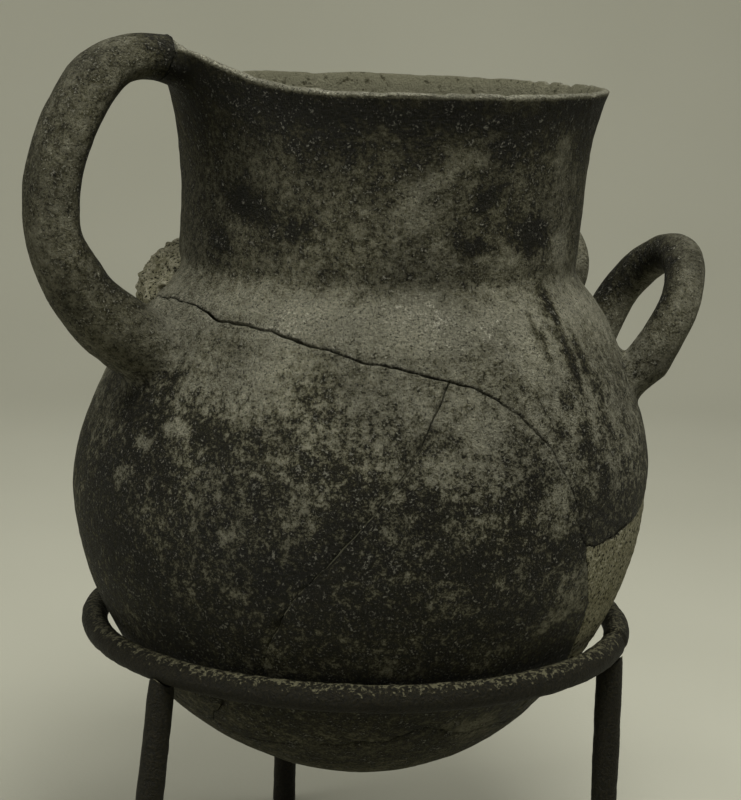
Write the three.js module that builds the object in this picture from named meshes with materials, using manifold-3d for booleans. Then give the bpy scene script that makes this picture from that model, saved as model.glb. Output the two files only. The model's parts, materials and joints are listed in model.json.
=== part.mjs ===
// A large hand-built clay jug with a round bottom and three handles, mended from
// sherds, standing in the bent iron ring stand that holds it up.
// Millimetres, +Z up. Heights are counted from the plane of the ring's centre line,
// and the whole model is set down on the floor at the end.
// Angles are in degrees, from +X towards +Y. The big handle lies towards -X.

import * as THREE from "three";
import { mergeVertices } from "three/addons/utils/BufferGeometryUtils.js";
import Module from "manifold-3d";

const wasm = await Module();
wasm.setup();

// Clearances
const seatGap = 0.35;            // between a piece and what it is luted to or rests on
const crackWidth = 0.9;          // open width of the joins between sherds
const breakGap = 0.5;            // across the old break at the top of the big handle
const crumbVolume = 40;          // cubic mm, smaller loose bits are not sherds

// Jug body, outside
const bellyRadius = 160;
const bellyHeight = 80;
const baseDepth = 84;            // bottom of the bowl, below the ring's plane
const bowlRoundness = 1.8;       // exponent of the bowl's curve, 2 would be an ellipse
const neckRadius = 109.5;
const neckFootHeight = 203;
const rimRadius = 121;
const rimHeight = 300;
const neckFlare = 3.3;           // exponent of the neck's curve out to the rim
const wallThickness = 7.5;
const lipThickness = 6;
const lipRise = 2.1;             // middle of the rounded lip, above its edges

// The rim is drawn up and out where the big handle joins it
const rimRise = 20;
const rimPull = 13;
const rimRiseSpread = 19;        // degrees
const rimRiseDepth = 62;         // how far down the neck it fades out
const rimTuck = 6;               // drawn in on each side of it
const rimTuckAside = 30;         // degrees from the handle
const rimTuckSpread = 13;

// Big handle
const mainHandleAngle = 180;
const mainBarDepth = 28;         // across the bar, in the plane of the handle
const mainBarWidth = 36;
const mainOverhang = 29;         // outermost point of the bar's centre line, beyond the belly
const mainTopRise = 14;          // highest point of the bar's centre line, above the rim
const mainFootLevel = 68.3;      // where its foot enters the shoulder, as a level on the wall
const mainStubLength = 7;        // the old break, beyond the rim's edge
const mainBreakLean = 16;        // degrees, lean of the broken face
const mainFootSpread = 1.95;     // how much wider the smoothed foot is than the bar
const mainTenonDiameter = 18;
const mainTenonLean = 21;        // degrees, the peg drops towards the inside
const mainTenonOut = 19.3;       // peg's length inside the foot
const mainTenonIn = 27.9;        // peg's length inwards, before it is trimmed at the wall's inside

// Two small loop handles: direction, rise of the loop above level, sizes of its centre line,
// and the level on the wall where it is rooted
const frontLoopSizes = { angle: -19, tilt: 61, length: 70, width: 98, rootWidth: 84, rootLevel: 54.9 };
const backLoopSizes = { angle: 29, tilt: 48, length: 82, width: 88, rootWidth: 78, rootLevel: 56.9 };
const loopBarDiameter = 23.5;
const loopFootSpread = 1.5;      // how much wider the smoothed feet are than the bar
const loopRootDepth = 15;        // how far the arms' centre lines run into the wall
const loopRootToe = 2;           // and lean towards each other there
const loopTenonDiameter = 13;
const loopTenonOut = 6;          // peg's length inside the arm
const loopTenonIn = 34;          // peg's length inwards, before it is trimmed at the wall's inside
const loopTenonToe = 12;         // how far the pegs lean towards each other

// Old plaster left at the foot of the neck, beside the big handle
const mendAngle = 150;
const mendInset = 11.5;          // its middle, inside the neck's wall
const mendDrop = 16;             // its middle, below the neck's foot
const mendDepth = 37;
const mendRise = 29;
const mendSpread = 40;

// Ring stand
const ringOval = 2.4;            // how much longer the ring's long half axis is than its short one
const ringAngle = -32;           // direction of the long axis
const ringJointAngle = -46;      // where the rod's ends meet
const rodDiameter = 15;
const ringJointGap = 0.5;
const ringHeight = 170;          // centre line above the floor
const legDiameter = 15;
const legTopDiameter = 13;
const legTaperLength = 16;
const legNeck = 9.2;             // length of the narrow top, below the ring's centre line

// Smoothness of the faceted solids
const turns = 48;
const bowlSteps = 10;
const neckSteps = 6;
const mainSteps = 34;
const mainSides = 14;
const loopSteps = 26;
const loopSides = 10;
const pegSides = 12;
const ringSteps = 48;
const ringSides = 10;
const legSides = 10;

// Heights on the wall are levels: -100 at the bottom of the bowl, 0 at the belly's widest line,
// 100 at the foot of the neck, and on up the neck by the same steps.
// The hand-built body wanders off its centre line: level and offset, towards wanderAngle
const wanderAngle = -32;
const wander = [[-100, 2.5], [-64, -2.3], [-46, -0.7], [-12, -0.5], [41, 2.4], [89, 5], [138, 7.3]];

// Shoulder outline between belly and neck: share of the height, share of the radius
const shoulder = [[0.16, 0.98], [0.33, 0.88], [0.57, 0.64], [0.74, 0.44], [0.86, 0.25], [0.95, 0.07]];

// Legs: direction and outward splay
const legs = {
  leg_left: { angle: -164.2, splay: 7 },
  leg_right: { angle: -50, splay: 0.5 },
  leg_back: { angle: 74, splay: 3 },
};

// Places where joins meet, as angle and level on the wall
const fork = [254.7, 66.3];
const handleFork = [512, 84.6];
const hindFork = [415, 30.9];
const patchCorners = {
  topLeft: [286, -4.3], topRight: [326, 6.5], footLeft: [295, -47.6], footRight: [326, -45.1],
};
const baseForks = { front: [215.6, -75.6], right: [290.5, -72], hind: [417, -72], side: [510, -67.7] };
const chipCorners = { start: [196, -71], end: [180, -63.4] };

// Joins between the sherds, each running from one of those places to the next
const mainCrack = [
  [152, 84.6], [168, 86.2], [180, 87.4], [190, 86.6], [197, 83.7], [211, 82.9], [221.5, 79.3], [233, 74.8],
  [241, 72], [250.5, 67.9], fork,
];
const rightCrack = [
  fork, [263.5, 60.2], [270, 52], [275, 41.5], [278, 30.9], [281.5, 14.6], [284.5, -1.8],
  patchCorners.topLeft,
];
const branchCrack = [
  fork, [252, 55.3], [247, 36.6], [243, 23.6], [239.5, 13], [235.5, 0.8], [231.5, -7.9], [227, -16.5],
  [222, -30.5], [219, -43.9], [217, -59.8], baseForks.front,
];
const patchTop = [
  patchCorners.topLeft, [290, -4.9], [300, -3.4], [309, -0.6], [318, 4.9], patchCorners.topRight,
];
const patchLeft = [patchCorners.topLeft, [288, -14.6], [291.5, -26.2], [293.5, -39.6], patchCorners.footLeft];
const patchFoot = [patchCorners.footLeft, [306, -50.6], [318, -48.2], patchCorners.footRight];
const patchRight = [patchCorners.footRight, [329, -30.5], [325, -13.4], patchCorners.topRight];
const patchStem = [patchCorners.footLeft, [292, -59.8], baseForks.right];
const backCrack = [
  patchCorners.topRight, [340, 9.8], [356, 3.3], [372, 8.1], [388, 13.8], [402, 26], hindFork,
];
const upperBackCrack = [
  hindFork, [432, 45.5], [450, 58.5], [466, 71.5], [484, 81.3], [498, 82.9], handleFork,
];
const sideCrack = [
  handleFork, [515, 56.9], [509, 26], [514, -2.4], [508, -25.6], [512, -46.3], baseForks.side,
];
const hindCrack = [hindFork, [418, 6.5], [412, -13.4], [417, -34.1], [414, -52.4], baseForks.hind];
const baseLeft = [chipCorners.end, [185.5, -65.5], chipCorners.start, [201, -75.6], baseForks.front];
const baseFront = [
  baseForks.front, [225, -74.1], [235.5, -72.9], [247, -71], [252.3, -68.9], [258.5, -65.9], [266, -69.5],
  [273.5, -71], [279, -71], baseForks.right,
];
const baseRight = [
  baseForks.right, [306, -70.1], [322, -73.2], [340, -69.5], [358, -73.8], [376, -71.3], [396, -75],
  baseForks.hind,
];
const baseBack = [baseForks.hind, [436, -74.4], [456, -70.1], [474, -72.6], [492, -68.9], baseForks.side];
const baseHandle = [baseForks.side, [526, -65.9], [540, -63.4]];
const chipEdge = [chipCorners.start, [205.4, -58.2], [196, -51.2], [182, -53], chipCorners.end];

const radians = THREE.MathUtils.degToRad;

// A value read from a list of [place, value] stations, eased between them
function eased(stations, place) {
  if (place <= stations[0][0]) return stations[0][1];
  for (let i = 1; i < stations.length; i++) {
    const [from, low] = stations[i - 1];
    const [to, high] = stations[i];
    if (place <= to) return THREE.MathUtils.lerp(low, high, THREE.MathUtils.smoothstep(place, from, to));
  }
  return stations[stations.length - 1][1];
}

// A point at a radius, an angle and a height
function polar(radius, angle, height) {
  return new THREE.Vector3(radius * Math.cos(radians(angle)), radius * Math.sin(radians(angle)), height);
}

// The height of a level on the wall, and the level of a height
function heightAt(level) {
  const zone = level < 0 ? bellyHeight + baseDepth : neckFootHeight - bellyHeight;
  return bellyHeight + zone * level / 100;
}

function levelAt(height) {
  const zone = height < bellyHeight ? bellyHeight + baseDepth : neckFootHeight - bellyHeight;
  return (height - bellyHeight) / zone * 100;
}

// How far the body has wandered sideways at a height
function wanderAt(height) {
  return polar(eased(wander, levelAt(height)), wanderAngle, 0);
}

// Outside outline of the jug, from the bottom of the bowl up to the rim, as (radius, height)
function outerProfile() {
  const points = [];
  const bowlHeight = bellyHeight + baseDepth;
  for (let i = 0; i < bowlSteps; i++) {
    const around = (i / bowlSteps) * (Math.PI / 2);
    const share = Math.cos(around);
    const radius = bellyRadius * Math.sqrt(1 - Math.pow(share, bowlRoundness));
    points.push(new THREE.Vector2(radius, bellyHeight - bowlHeight * share));
  }
  points.push(new THREE.Vector2(bellyRadius, bellyHeight));
  for (const [rise, width] of shoulder) {
    const height = THREE.MathUtils.lerp(bellyHeight, neckFootHeight, rise);
    points.push(new THREE.Vector2(THREE.MathUtils.lerp(neckRadius, bellyRadius, width), height));
  }
  for (let i = 0; i <= neckSteps; i++) {
    const share = i / neckSteps;
    const radius = neckRadius + (rimRadius - neckRadius) * Math.pow(share, neckFlare);
    points.push(new THREE.Vector2(radius, THREE.MathUtils.lerp(neckFootHeight, rimHeight, share)));
  }
  return points;
}

// The same outline moved square to itself: inwards where distance is above zero
function offsetProfile(profile, distanceAt) {
  return profile.map((point, i) => {
    const before = profile[Math.max(i - 1, 0)];
    const after = profile[Math.min(i + 1, profile.length - 1)];
    const along = new THREE.Vector2().subVectors(after, before).normalize();
    if (i === 0) along.set(1, 0);
    const inward = new THREE.Vector2(-along.y, along.x);
    const moved = point.clone().addScaledVector(inward, distanceAt(point));
    if (i === 0) moved.x = 0;
    return moved;
  });
}

// Wall thickness, thinning to the lip over the flare of the neck
function wallAt(point) {
  const share = THREE.MathUtils.smoothstep(point.y, neckFootHeight, rimHeight);
  return THREE.MathUtils.lerp(wallThickness, lipThickness, share);
}

// Bends a turned shape into the hand-built one: the wandering centre line and the drawn-up rim
function handBuilt(point) {
  const angle = THREE.MathUtils.radToDeg(Math.atan2(point.y, point.x));
  const fromHandle = THREE.MathUtils.euclideanModulo(angle - mainHandleAngle + 180, 360) - 180;
  const around = Math.exp(-Math.pow(fromHandle / rimRiseSpread, 2));
  const upNeck = THREE.MathUtils.smoothstep(point.z, rimHeight - rimRiseDepth, rimHeight);
  const aside = Math.exp(-Math.pow((Math.abs(fromHandle) - rimTuckAside) / rimTuckSpread, 2));
  const pull = rimPull * around * upNeck ** 2 - rimTuck * aside * upNeck ** 4;
  const radius = Math.hypot(point.x, point.y);
  const pulled = radius > 0 ? (radius + pull) / radius : 1;
  const offset = wanderAt(point.z);
  point.set(point.x * pulled + offset.x, point.y * pulled + offset.y, point.z + rimRise * around * upNeck);
  return point;
}

// Volume inside closed faces, below zero where they are wound to face inwards
function signedVolume(positions, index) {
  let sum = 0;
  const corner = (i) => new THREE.Vector3().fromArray(positions, index[i] * 3);
  for (let i = 0; i < index.length; i += 3) sum += corner(i).dot(corner(i + 1).cross(corner(i + 2))) / 6;
  return sum;
}

// A closed geometry as a solid that can be cut and joined, its faces turned outwards
function solid(geometry) {
  const bare = geometry.clone();
  bare.deleteAttribute("normal");
  bare.deleteAttribute("uv");
  const merged = mergeVertices(bare, 1e-4);
  const index = Array.from(merged.index.array);
  const kept = [];
  for (let i = 0; i < index.length; i += 3) {
    const [a, b, c] = index.slice(i, i + 3);
    if (a !== b && b !== c && c !== a) kept.push(a, b, c);
  }
  const vertProperties = new Float32Array(merged.attributes.position.array);
  if (signedVolume(vertProperties, kept) < 0) kept.reverse();
  return new wasm.Manifold(new wasm.Mesh({ numProp: 3, vertProperties, triVerts: new Uint32Array(kept) }));
}

// Corners that hang together, as a label for each corner
function labelCorners(count, index) {
  const parent = Array.from({ length: count }, (_, i) => i);
  const root = (i) => {
    while (parent[i] !== i) i = parent[i] = parent[parent[i]];
    return i;
  };
  for (let i = 0; i < index.length; i += 3) {
    parent[root(index[i])] = root(index[i + 1]);
    parent[root(index[i + 1])] = root(index[i + 2]);
  }
  return parent.map((_, i) => root(i));
}

// A solid back as a geometry, without the crumbs that cuts leave where joins meet
function geometryOf(manifold) {
  const mesh = manifold.getMesh();
  const points = [];
  for (let i = 0; i < mesh.numVert; i++) {
    points.push(new THREE.Vector3().fromArray(mesh.vertProperties, i * mesh.numProp));
  }
  const whole = new THREE.BufferGeometry().setFromPoints(points);
  whole.setIndex(Array.from(mesh.triVerts));
  const geometry = mergeVertices(whole, 1e-5);
  const index = Array.from(geometry.index.array);
  const positions = geometry.attributes.position;
  const label = labelCorners(positions.count, index);
  const faces = new Map();
  for (let i = 0; i < index.length; i += 3) {
    const group = label[index[i]];
    if (!faces.has(group)) faces.set(group, []);
    faces.get(group).push(index[i], index[i + 1], index[i + 2]);
  }
  const volumeOf = (group) => Math.abs(signedVolume(positions.array, group));
  const kept = [...faces.values()].filter((group) => volumeOf(group) > crumbVolume);
  geometry.setIndex(kept.flat());
  geometry.computeVertexNormals();
  return geometry;
}

// A turned solid from a profile that starts and ends on the axis, bent into the hand-built shape
function turned(profile) {
  const geometry = new THREE.LatheGeometry(profile, turns);
  geometry.rotateX(Math.PI / 2);
  const positions = geometry.attributes.position;
  const point = new THREE.Vector3();
  for (let i = 0; i < positions.count; i++) {
    handBuilt(point.fromBufferAttribute(positions, i));
    positions.setXYZ(i, point.x, point.y, point.z);
  }
  return solid(geometry);
}

// A closed solid through rings of points, each end closed by a fan
function loft(rings) {
  const count = rings[0].length;
  const points = rings.flat();
  const index = [];
  for (let r = 0; r + 1 < rings.length; r++) {
    for (let i = 0; i < count; i++) {
      const next = (i + 1) % count;
      const [a, b] = [r * count + i, r * count + next];
      index.push(a, b, b + count, a, b + count, a + count);
    }
  }
  for (const end of [0, rings.length - 1]) {
    const middle = points.length;
    points.push(rings[end].reduce((sum, point) => sum.add(point), new THREE.Vector3()).divideScalar(count));
    for (let i = 0; i < count; i++) {
      const [a, b] = [end * count + i, end * count + ((i + 1) % count)];
      index.push(...(end === 0 ? [middle, b, a] : [middle, a, b]));
    }
  }
  const geometry = new THREE.BufferGeometry().setFromPoints(points);
  geometry.setIndex(index);
  return geometry;
}

// A bar along a curve in one plane: side is the plane's normal, size gives half width and half depth
function bar(curve, side, steps, sides, size) {
  const rings = [];
  for (let i = 0; i <= steps; i++) {
    const share = i / steps;
    const centre = curve.getPointAt(share);
    const outward = new THREE.Vector3().crossVectors(side, curve.getTangentAt(share)).normalize();
    const [halfWidth, halfDepth] = size(share);
    const ring = [];
    for (let k = 0; k < sides; k++) {
      const around = (k / sides) * Math.PI * 2;
      const point = centre.clone().addScaledVector(outward, halfDepth * Math.cos(around));
      ring.push(point.addScaledVector(side, -halfWidth * Math.sin(around)));
    }
    rings.push(ring);
  }
  return loft(rings);
}

// A round peg between two points
function peg(from, to, diameter) {
  const length = from.distanceTo(to);
  const geometry = new THREE.CylinderGeometry(diameter / 2, diameter / 2, length, pegSides);
  geometry.rotateX(Math.PI / 2);
  geometry.translate(0, 0, length / 2);
  const toward = new THREE.Vector3().subVectors(to, from).normalize();
  geometry.applyQuaternion(new THREE.Quaternion().setFromUnitVectors(new THREE.Vector3(0, 0, 1), toward));
  geometry.translate(from.x, from.y, from.z);
  return solid(geometry);
}

// Cuts through the wall all run towards one point inside the belly, so they meet it about square
const heartDrop = 20;            // below the widest part of the belly
const heart = new THREE.Vector3(0, 0, bellyHeight - heartDrop);
const farReach = rimHeight + baseDepth + bellyRadius;

// Outside radius of the wall at a height, before it wanders
function radiusAt(height) {
  const profile = outerProfile();
  for (let i = 1; i < profile.length; i++) {
    const [low, high] = [profile[i - 1], profile[i]];
    if (height <= high.y) return THREE.MathUtils.mapLinear(height, low.y, high.y, low.x, high.x);
  }
  return rimRadius;
}

// A place on the outside of the wall
function onWall([angle, level]) {
  const height = heightAt(level);
  return handBuilt(polar(radiusAt(height), angle, height));
}

// A thin sheet along a join, from inside the wall to outside it, and a little past its two ends
function crackSheet(stations) {
  const wall = stations.map(onWall);
  const overrun = crackWidth * 0.6;
  const inwards = -wallThickness * 2.5;
  const rings = wall.map((point, i) => {
    const before = wall[Math.max(i - 1, 0)];
    const after = wall[Math.min(i + 1, wall.length - 1)];
    const outward = new THREE.Vector3().subVectors(point, heart).normalize();
    const along = new THREE.Vector3().subVectors(after, before);
    const across = new THREE.Vector3().crossVectors(outward, along).setLength(crackWidth / 2);
    const atEnd = i === 0 ? -1 : i === wall.length - 1 ? 1 : 0;
    const run = along.normalize().multiplyScalar(atEnd * overrun);
    const low = point.clone().add(run).addScaledVector(outward, inwards);
    const high = point.clone().add(run).addScaledVector(outward, wallThickness);
    const corners = [[low, -1], [high, -1], [high, 1], [low, 1]];
    return corners.map(([corner, side]) => corner.clone().addScaledVector(across, side));
  });
  return solid(loft(rings));
}

// All of space seen from the heart through a closed outline on the wall
function cell(outline) {
  const far = outline.map((station) => {
    const toward = onWall(station).sub(heart).normalize();
    return heart.clone().addScaledVector(toward, farReach);
  });
  const flat = outline.map(([angle, level]) => new THREE.Vector2(angle, level));
  const clockwise = THREE.ShapeUtils.isClockWise(flat);
  const faces = THREE.ShapeUtils.triangulateShape(flat, []);
  const points = [heart.clone(), ...far];
  const index = faces.flatMap(([a, b, c]) => [a + 1, b + 1, c + 1]);
  for (let i = 0; i < far.length; i++) {
    const [a, b] = [i + 1, ((i + 1) % far.length) + 1];
    index.push(0, ...(clockwise ? [a, b] : [b, a]));
  }
  const geometry = new THREE.BufferGeometry().setFromPoints(points);
  geometry.setIndex(index);
  return solid(geometry);
}

// The same for everything below a join that runs right round the bowl
function cellBelow(outline) {
  const far = outline.map((station) => {
    const toward = onWall(station).sub(heart).normalize();
    return heart.clone().addScaledVector(toward, farReach);
  });
  const points = [heart.clone(), new THREE.Vector3(0, 0, -farReach * 2), ...far];
  const index = [];
  for (let i = 0; i < far.length; i++) {
    const [a, b] = [i + 2, ((i + 1) % far.length) + 2];
    index.push(0, b, a, 1, a, b);
  }
  const geometry = new THREE.BufferGeometry().setFromPoints(points);
  geometry.setIndex(index);
  return solid(geometry);
}

// A closed outline from joins that follow each other round a sherd, each shared end once
function closed(...joins) {
  return joins.flatMap((join) => join.slice(0, -1));
}

// Joins that follow each other as one
function joined(...joins) {
  return [...closed(...joins), joins.at(-1).at(-1)];
}

// A join that lies past the full turn, counted from before it
function turnedBack(stations) {
  return stations.map(([angle, level]) => [angle - 360, level]);
}

// Jug body
const outer = outerProfile();
const inner = offsetProfile(outer, wallAt);
const lipTop = new THREE.Vector2((outer.at(-1).x + inner.at(-1).x) / 2, rimHeight + lipRise);
const mouthTop = rimHeight + mainBarDepth;
const mouth = [new THREE.Vector2(inner.at(-1).x, mouthTop), new THREE.Vector2(0, mouthTop)];
const shell = turned([...outer, lipTop, ...inner.toReversed()]);
const grown = offsetProfile(outer, () => -seatGap);
const outside = turned([...grown, new THREE.Vector2(0, grown.at(-1).y)]);
const hollow = turned([...inner, ...mouth]);

// Big handle: its centre line in the plane of the handle, as shares of its reach and height
const mainFootHeight = heightAt(mainFootLevel);
const mainTopHeight = rimHeight + mainTopRise;
const mainBreakReach = rimRadius + mainStubLength;

function mainHandleCurve() {
  const span = mainTopHeight - mainFootHeight;
  const bulge = bellyRadius + mainOverhang - mainBreakReach;
  const shape = [
    [-0.34, 0.975], [0, 0.995], [0.2, 1], [0.42, 0.98], [0.61, 0.925], [0.77, 0.83], [0.895, 0.72],
    [0.98, 0.6], [1, 0.49], [0.955, 0.375], [0.83, 0.27], [0.68, 0.18], [0.5, 0.105], [0.28, 0.04],
    [0.02, -0.03], [-0.3, -0.1],
  ];
  const points = shape.map(([out, up]) =>
    polar(mainBreakReach + bulge * out, mainHandleAngle, mainFootHeight + span * up));
  return new THREE.CatmullRomCurve3(points, false, "centripetal");
}

const mainSide = polar(1, mainHandleAngle - 90, 0);
const mainSwell = [
  [0, 1.15], [0.05, 1], [0.09, 0.87], [0.16, 0.88], [0.26, 1], [0.56, 1], [0.7, 1.16], [0.83, 1.4],
  [0.93, mainFootSpread], [1, mainFootSpread],
];
const mainBar = solid(bar(mainHandleCurve(), mainSide, mainSteps, mainSides, (share) => {
  const swell = eased(mainSwell, share);
  return [mainBarWidth / 2 * swell, mainBarDepth / 2 * swell];
}));

// Everything on the jug's side of the old break
function breakBlock(reach) {
  const size = rimRadius;
  const geometry = new THREE.BoxGeometry(size, size, size);
  geometry.rotateY(radians(-mainBreakLean));
  const place = polar(reach - size / 2, mainHandleAngle, mainTopHeight);
  geometry.translate(place.x, place.y, place.z);
  return solid(geometry);
}

const stub = mainBar.intersect(breakBlock(mainBreakReach - breakGap / 2)).subtract(hollow);
const mainFoot = polar(mainBreakReach, mainHandleAngle, mainFootHeight);
const mainPegWay = polar(Math.cos(radians(mainTenonLean)), mainHandleAngle, Math.sin(radians(mainTenonLean)));
const mainFootOutside = mainFoot.clone().addScaledVector(mainPegWay, mainTenonOut);
const mainFootInside = mainFoot.clone().addScaledVector(mainPegWay, -mainTenonIn);
const mainTenon = peg(mainFootOutside, mainFootInside, mainTenonDiameter);
const mainHole = peg(mainFootOutside, mainFootInside, mainTenonDiameter + seatGap * 2);
const mainHandle = mainBar
  .subtract(breakBlock(mainBreakReach + breakGap / 2))
  .subtract(outside)
  .add(mainTenon.subtract(hollow));

// Small loop handle: two arms and a round crest in a plane that rises away from the wall
function loopHandle({ angle, tilt, length, width, rootWidth, rootLevel }) {
  const out = polar(Math.cos(radians(tilt)), angle, Math.sin(radians(tilt)));
  const along = polar(1, angle + 90, 0);
  const rootHeight = heightAt(rootLevel);
  const root = polar(radiusAt(rootHeight), angle, rootHeight).add(wanderAt(rootHeight));
  const crest = width / 2;
  const foot = rootWidth / 2;
  const arm = length - crest;
  const place = (side, reach) => root.clone().addScaledVector(along, side).addScaledVector(out, reach);
  const armPoints = [[foot - loopRootToe, -loopRootDepth], [foot, 0], [(foot + crest) / 2, arm * 0.55]];
  const crestAngles = [-70, -45, -22, 0, 22, 45, 70];
  const points = [
    ...armPoints.map(([side, reach]) => place(-side, reach)),
    ...crestAngles.map(radians).map((turn) => place(crest * Math.sin(turn), arm + crest * Math.cos(turn))),
    ...armPoints.toReversed().map(([side, reach]) => place(side, reach)),
  ];
  const curve = new THREE.CatmullRomCurve3(points, false, "centripetal");
  const normal = new THREE.Vector3().crossVectors(along, out).normalize();
  const wide = loopFootSpread;
  const swell = [
    [0, wide], [0.08, wide], [0.2, 1.1], [0.32, 1], [0.68, 0.95], [0.8, 1.05], [0.92, wide], [1, wide],
  ];
  const body = solid(bar(curve, normal, loopSteps, loopSides, (share) => {
    const half = loopBarDiameter / 2 * eased(swell, share);
    return [half, half];
  }));
  const pegs = [-1, 1].map((end) =>
    [place(end * foot, loopTenonOut), place(end * (foot - loopTenonToe), -loopTenonIn)]);
  const tenons = pegs.map(([from, to]) => peg(from, to, loopTenonDiameter).subtract(hollow));
  const holes = pegs.map(([from, to]) => peg(from, to, loopTenonDiameter + seatGap * 2));
  return { piece: body.subtract(outside).add(tenons[0]).add(tenons[1]), holes };
}

const frontLoop = loopHandle(frontLoopSizes);
const backLoop = loopHandle(backLoopSizes);

// Plaster in the corner between neck and shoulder
function shoulderMend() {
  const geometry = new THREE.IcosahedronGeometry(1, 4);
  geometry.scale(mendDepth, mendSpread, mendRise);
  geometry.rotateZ(radians(mendAngle));
  const height = neckFootHeight - mendDrop;
  const place = polar(neckRadius - mendInset, mendAngle, height).add(wanderAt(height));
  geometry.translate(place.x, place.y, place.z);
  return solid(geometry).subtract(outside);
}

// The body with its handle stub, its holes and its open joins
const joins = [
  mainCrack, rightCrack, patchTop, patchLeft, patchFoot, patchRight, backCrack, upperBackCrack,
  branchCrack, sideCrack, hindCrack, patchStem, chipEdge,
  joined(baseLeft, baseFront), joined(baseRight, baseBack, baseHandle),
];
let body = shell.add(stub).subtract(mainHole);
for (const hole of [...frontLoop.holes, ...backLoop.holes]) body = body.subtract(hole);
for (const join of joins) body = body.subtract(crackSheet(join));

// Outlines of the sherds, each one running round its own edge
const outlines = {
  sherd_front_left: closed(
    mainCrack, branchCrack, baseLeft.toReversed(),
    turnedBack(baseHandle).toReversed(), turnedBack(sideCrack).toReversed(),
  ),
  sherd_front_right: closed(
    branchCrack.toReversed(), rightCrack, patchLeft, patchStem, baseFront.toReversed(),
  ),
  fill_patch: closed(patchTop, patchRight.toReversed(), patchFoot.toReversed(), patchLeft.toReversed()),
  sherd_back_right: closed(
    patchStem.toReversed(), patchFoot, patchRight, backCrack, hindCrack, baseRight.toReversed(),
  ),
  sherd_back_left: closed(hindCrack.toReversed(), upperBackCrack, sideCrack, baseBack.toReversed()),
};
const base = cellBelow(closed(baseLeft, baseFront, baseRight, baseBack, baseHandle));
const chip = cell(closed(chipEdge, baseLeft.slice(0, 3)));

const clay = { color: 0x5b5a4c, roughness: 0.62, metalness: 0 };
const plaster = { color: 0x77776a, roughness: 0.9, metalness: 0 };
const iron = { color: 0x22211b, roughness: 0.55, metalness: 0.6 };
const assembly = new THREE.Group();

function piece(name, manifold, look) {
  const mesh = new THREE.Mesh(geometryOf(manifold), new THREE.MeshStandardMaterial(look));
  mesh.name = name;
  assembly.add(mesh);
}

let neckAndShoulder = body.subtract(base).subtract(chip);
for (const [name, outline] of Object.entries(outlines)) {
  const region = cell(outline);
  neckAndShoulder = neckAndShoulder.subtract(region);
  piece(name, body.subtract(base).subtract(chip).intersect(region), name === "fill_patch" ? plaster : clay);
}
piece("neck_and_shoulder", neckAndShoulder, clay);
piece("sherd_base", body.intersect(base).subtract(chip), clay);
piece("sherd_base_chip", body.intersect(chip), clay);
piece("main_handle", mainHandle, clay);
piece("loop_handle_front", frontLoop.piece, clay);
piece("loop_handle_back", backLoop.piece, clay);
piece("shoulder_mend", shoulderMend(), plaster);

// Radius at which the rod's centre line, in its plane, clears the bowl that rests on it
function seatRadius() {
  const reach = rodDiameter / 2 + seatGap;
  const profile = outerProfile();
  let radius = 0;
  for (let i = 1; i < profile.length; i++) {
    const [low, high] = [profile[i - 1], profile[i]];
    const along = new THREE.Vector2().subVectors(high, low);
    const length = along.length();
    along.divideScalar(length);
    const drop = low.y + reach * -along.x;
    const share = THREE.MathUtils.clamp(-drop / along.y, 0, length);
    const touch = low.clone().addScaledVector(along, share);
    if (Math.abs(touch.y) < reach) radius = Math.max(radius, touch.x + Math.sqrt(reach ** 2 - touch.y ** 2));
  }
  return radius;
}

// Ring stand: a rod bent to a loop with its ends meeting, on three legs
const ringShortRadius = seatRadius();
const ringRadius = ringShortRadius + ringOval;

function ringAt(around) {
  const place = new THREE.Vector3(ringRadius * Math.cos(around), ringShortRadius * Math.sin(around), 0);
  return place.applyAxisAngle(new THREE.Vector3(0, 0, 1), radians(ringAngle));
}

function ringLoft(diameter) {
  const open = ringJointGap / ringRadius;
  const start = radians(ringJointAngle - ringAngle);
  const rings = [];
  for (let i = 0; i <= ringSteps; i++) {
    const around = THREE.MathUtils.lerp(open / 2, Math.PI * 2 - open / 2, i / ringSteps);
    const centre = ringAt(start + around);
    const outward = centre.clone().normalize();
    const ring = [];
    for (let k = 0; k < ringSides; k++) {
      const turn = ((k + 0.5) / ringSides) * Math.PI * 2;
      const point = centre.clone().addScaledVector(outward, diameter / 2 * Math.cos(turn));
      point.z += diameter / 2 * Math.sin(turn);
      ring.push(point);
    }
    rings.push(ring);
  }
  return solid(loft(rings));
}

function leg({ angle, splay }, clear) {
  const top = ringAt(radians(angle - ringAngle));
  const outward = polar(1, angle, 0);
  const stations = [
    [0, legTopDiameter], [-legNeck, legTopDiameter],
    [-legTaperLength, legDiameter], [-ringHeight, legDiameter],
  ];
  const rings = stations.map(([height, diameter]) => {
    const centre = top.clone().addScaledVector(outward, -height * Math.tan(radians(splay)));
    const ring = [];
    for (let k = 0; k < legSides; k++) {
      ring.push(polar(diameter / 2, angle + (k + 0.5) * 360 / legSides, height).add(centre));
    }
    return ring;
  });
  return solid(loft(rings)).subtract(clear);
}

piece("stand_ring", ringLoft(rodDiameter), iron);
const ringClear = ringLoft(rodDiameter + seatGap * 2);
for (const [name, sizes] of Object.entries(legs)) piece(name, leg(sizes, ringClear), iron);

// The stand's feet on the floor, and the model's own box centred on the origin
const box = new THREE.Box3().setFromObject(assembly);
assembly.position.set(-(box.min.x + box.max.x) / 2, -(box.min.y + box.max.y) / 2, ringHeight);

export default assembly;
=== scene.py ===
import json
import math

import bpy
import numpy as np
from mathutils import Matrix, Vector, kdtree

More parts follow.
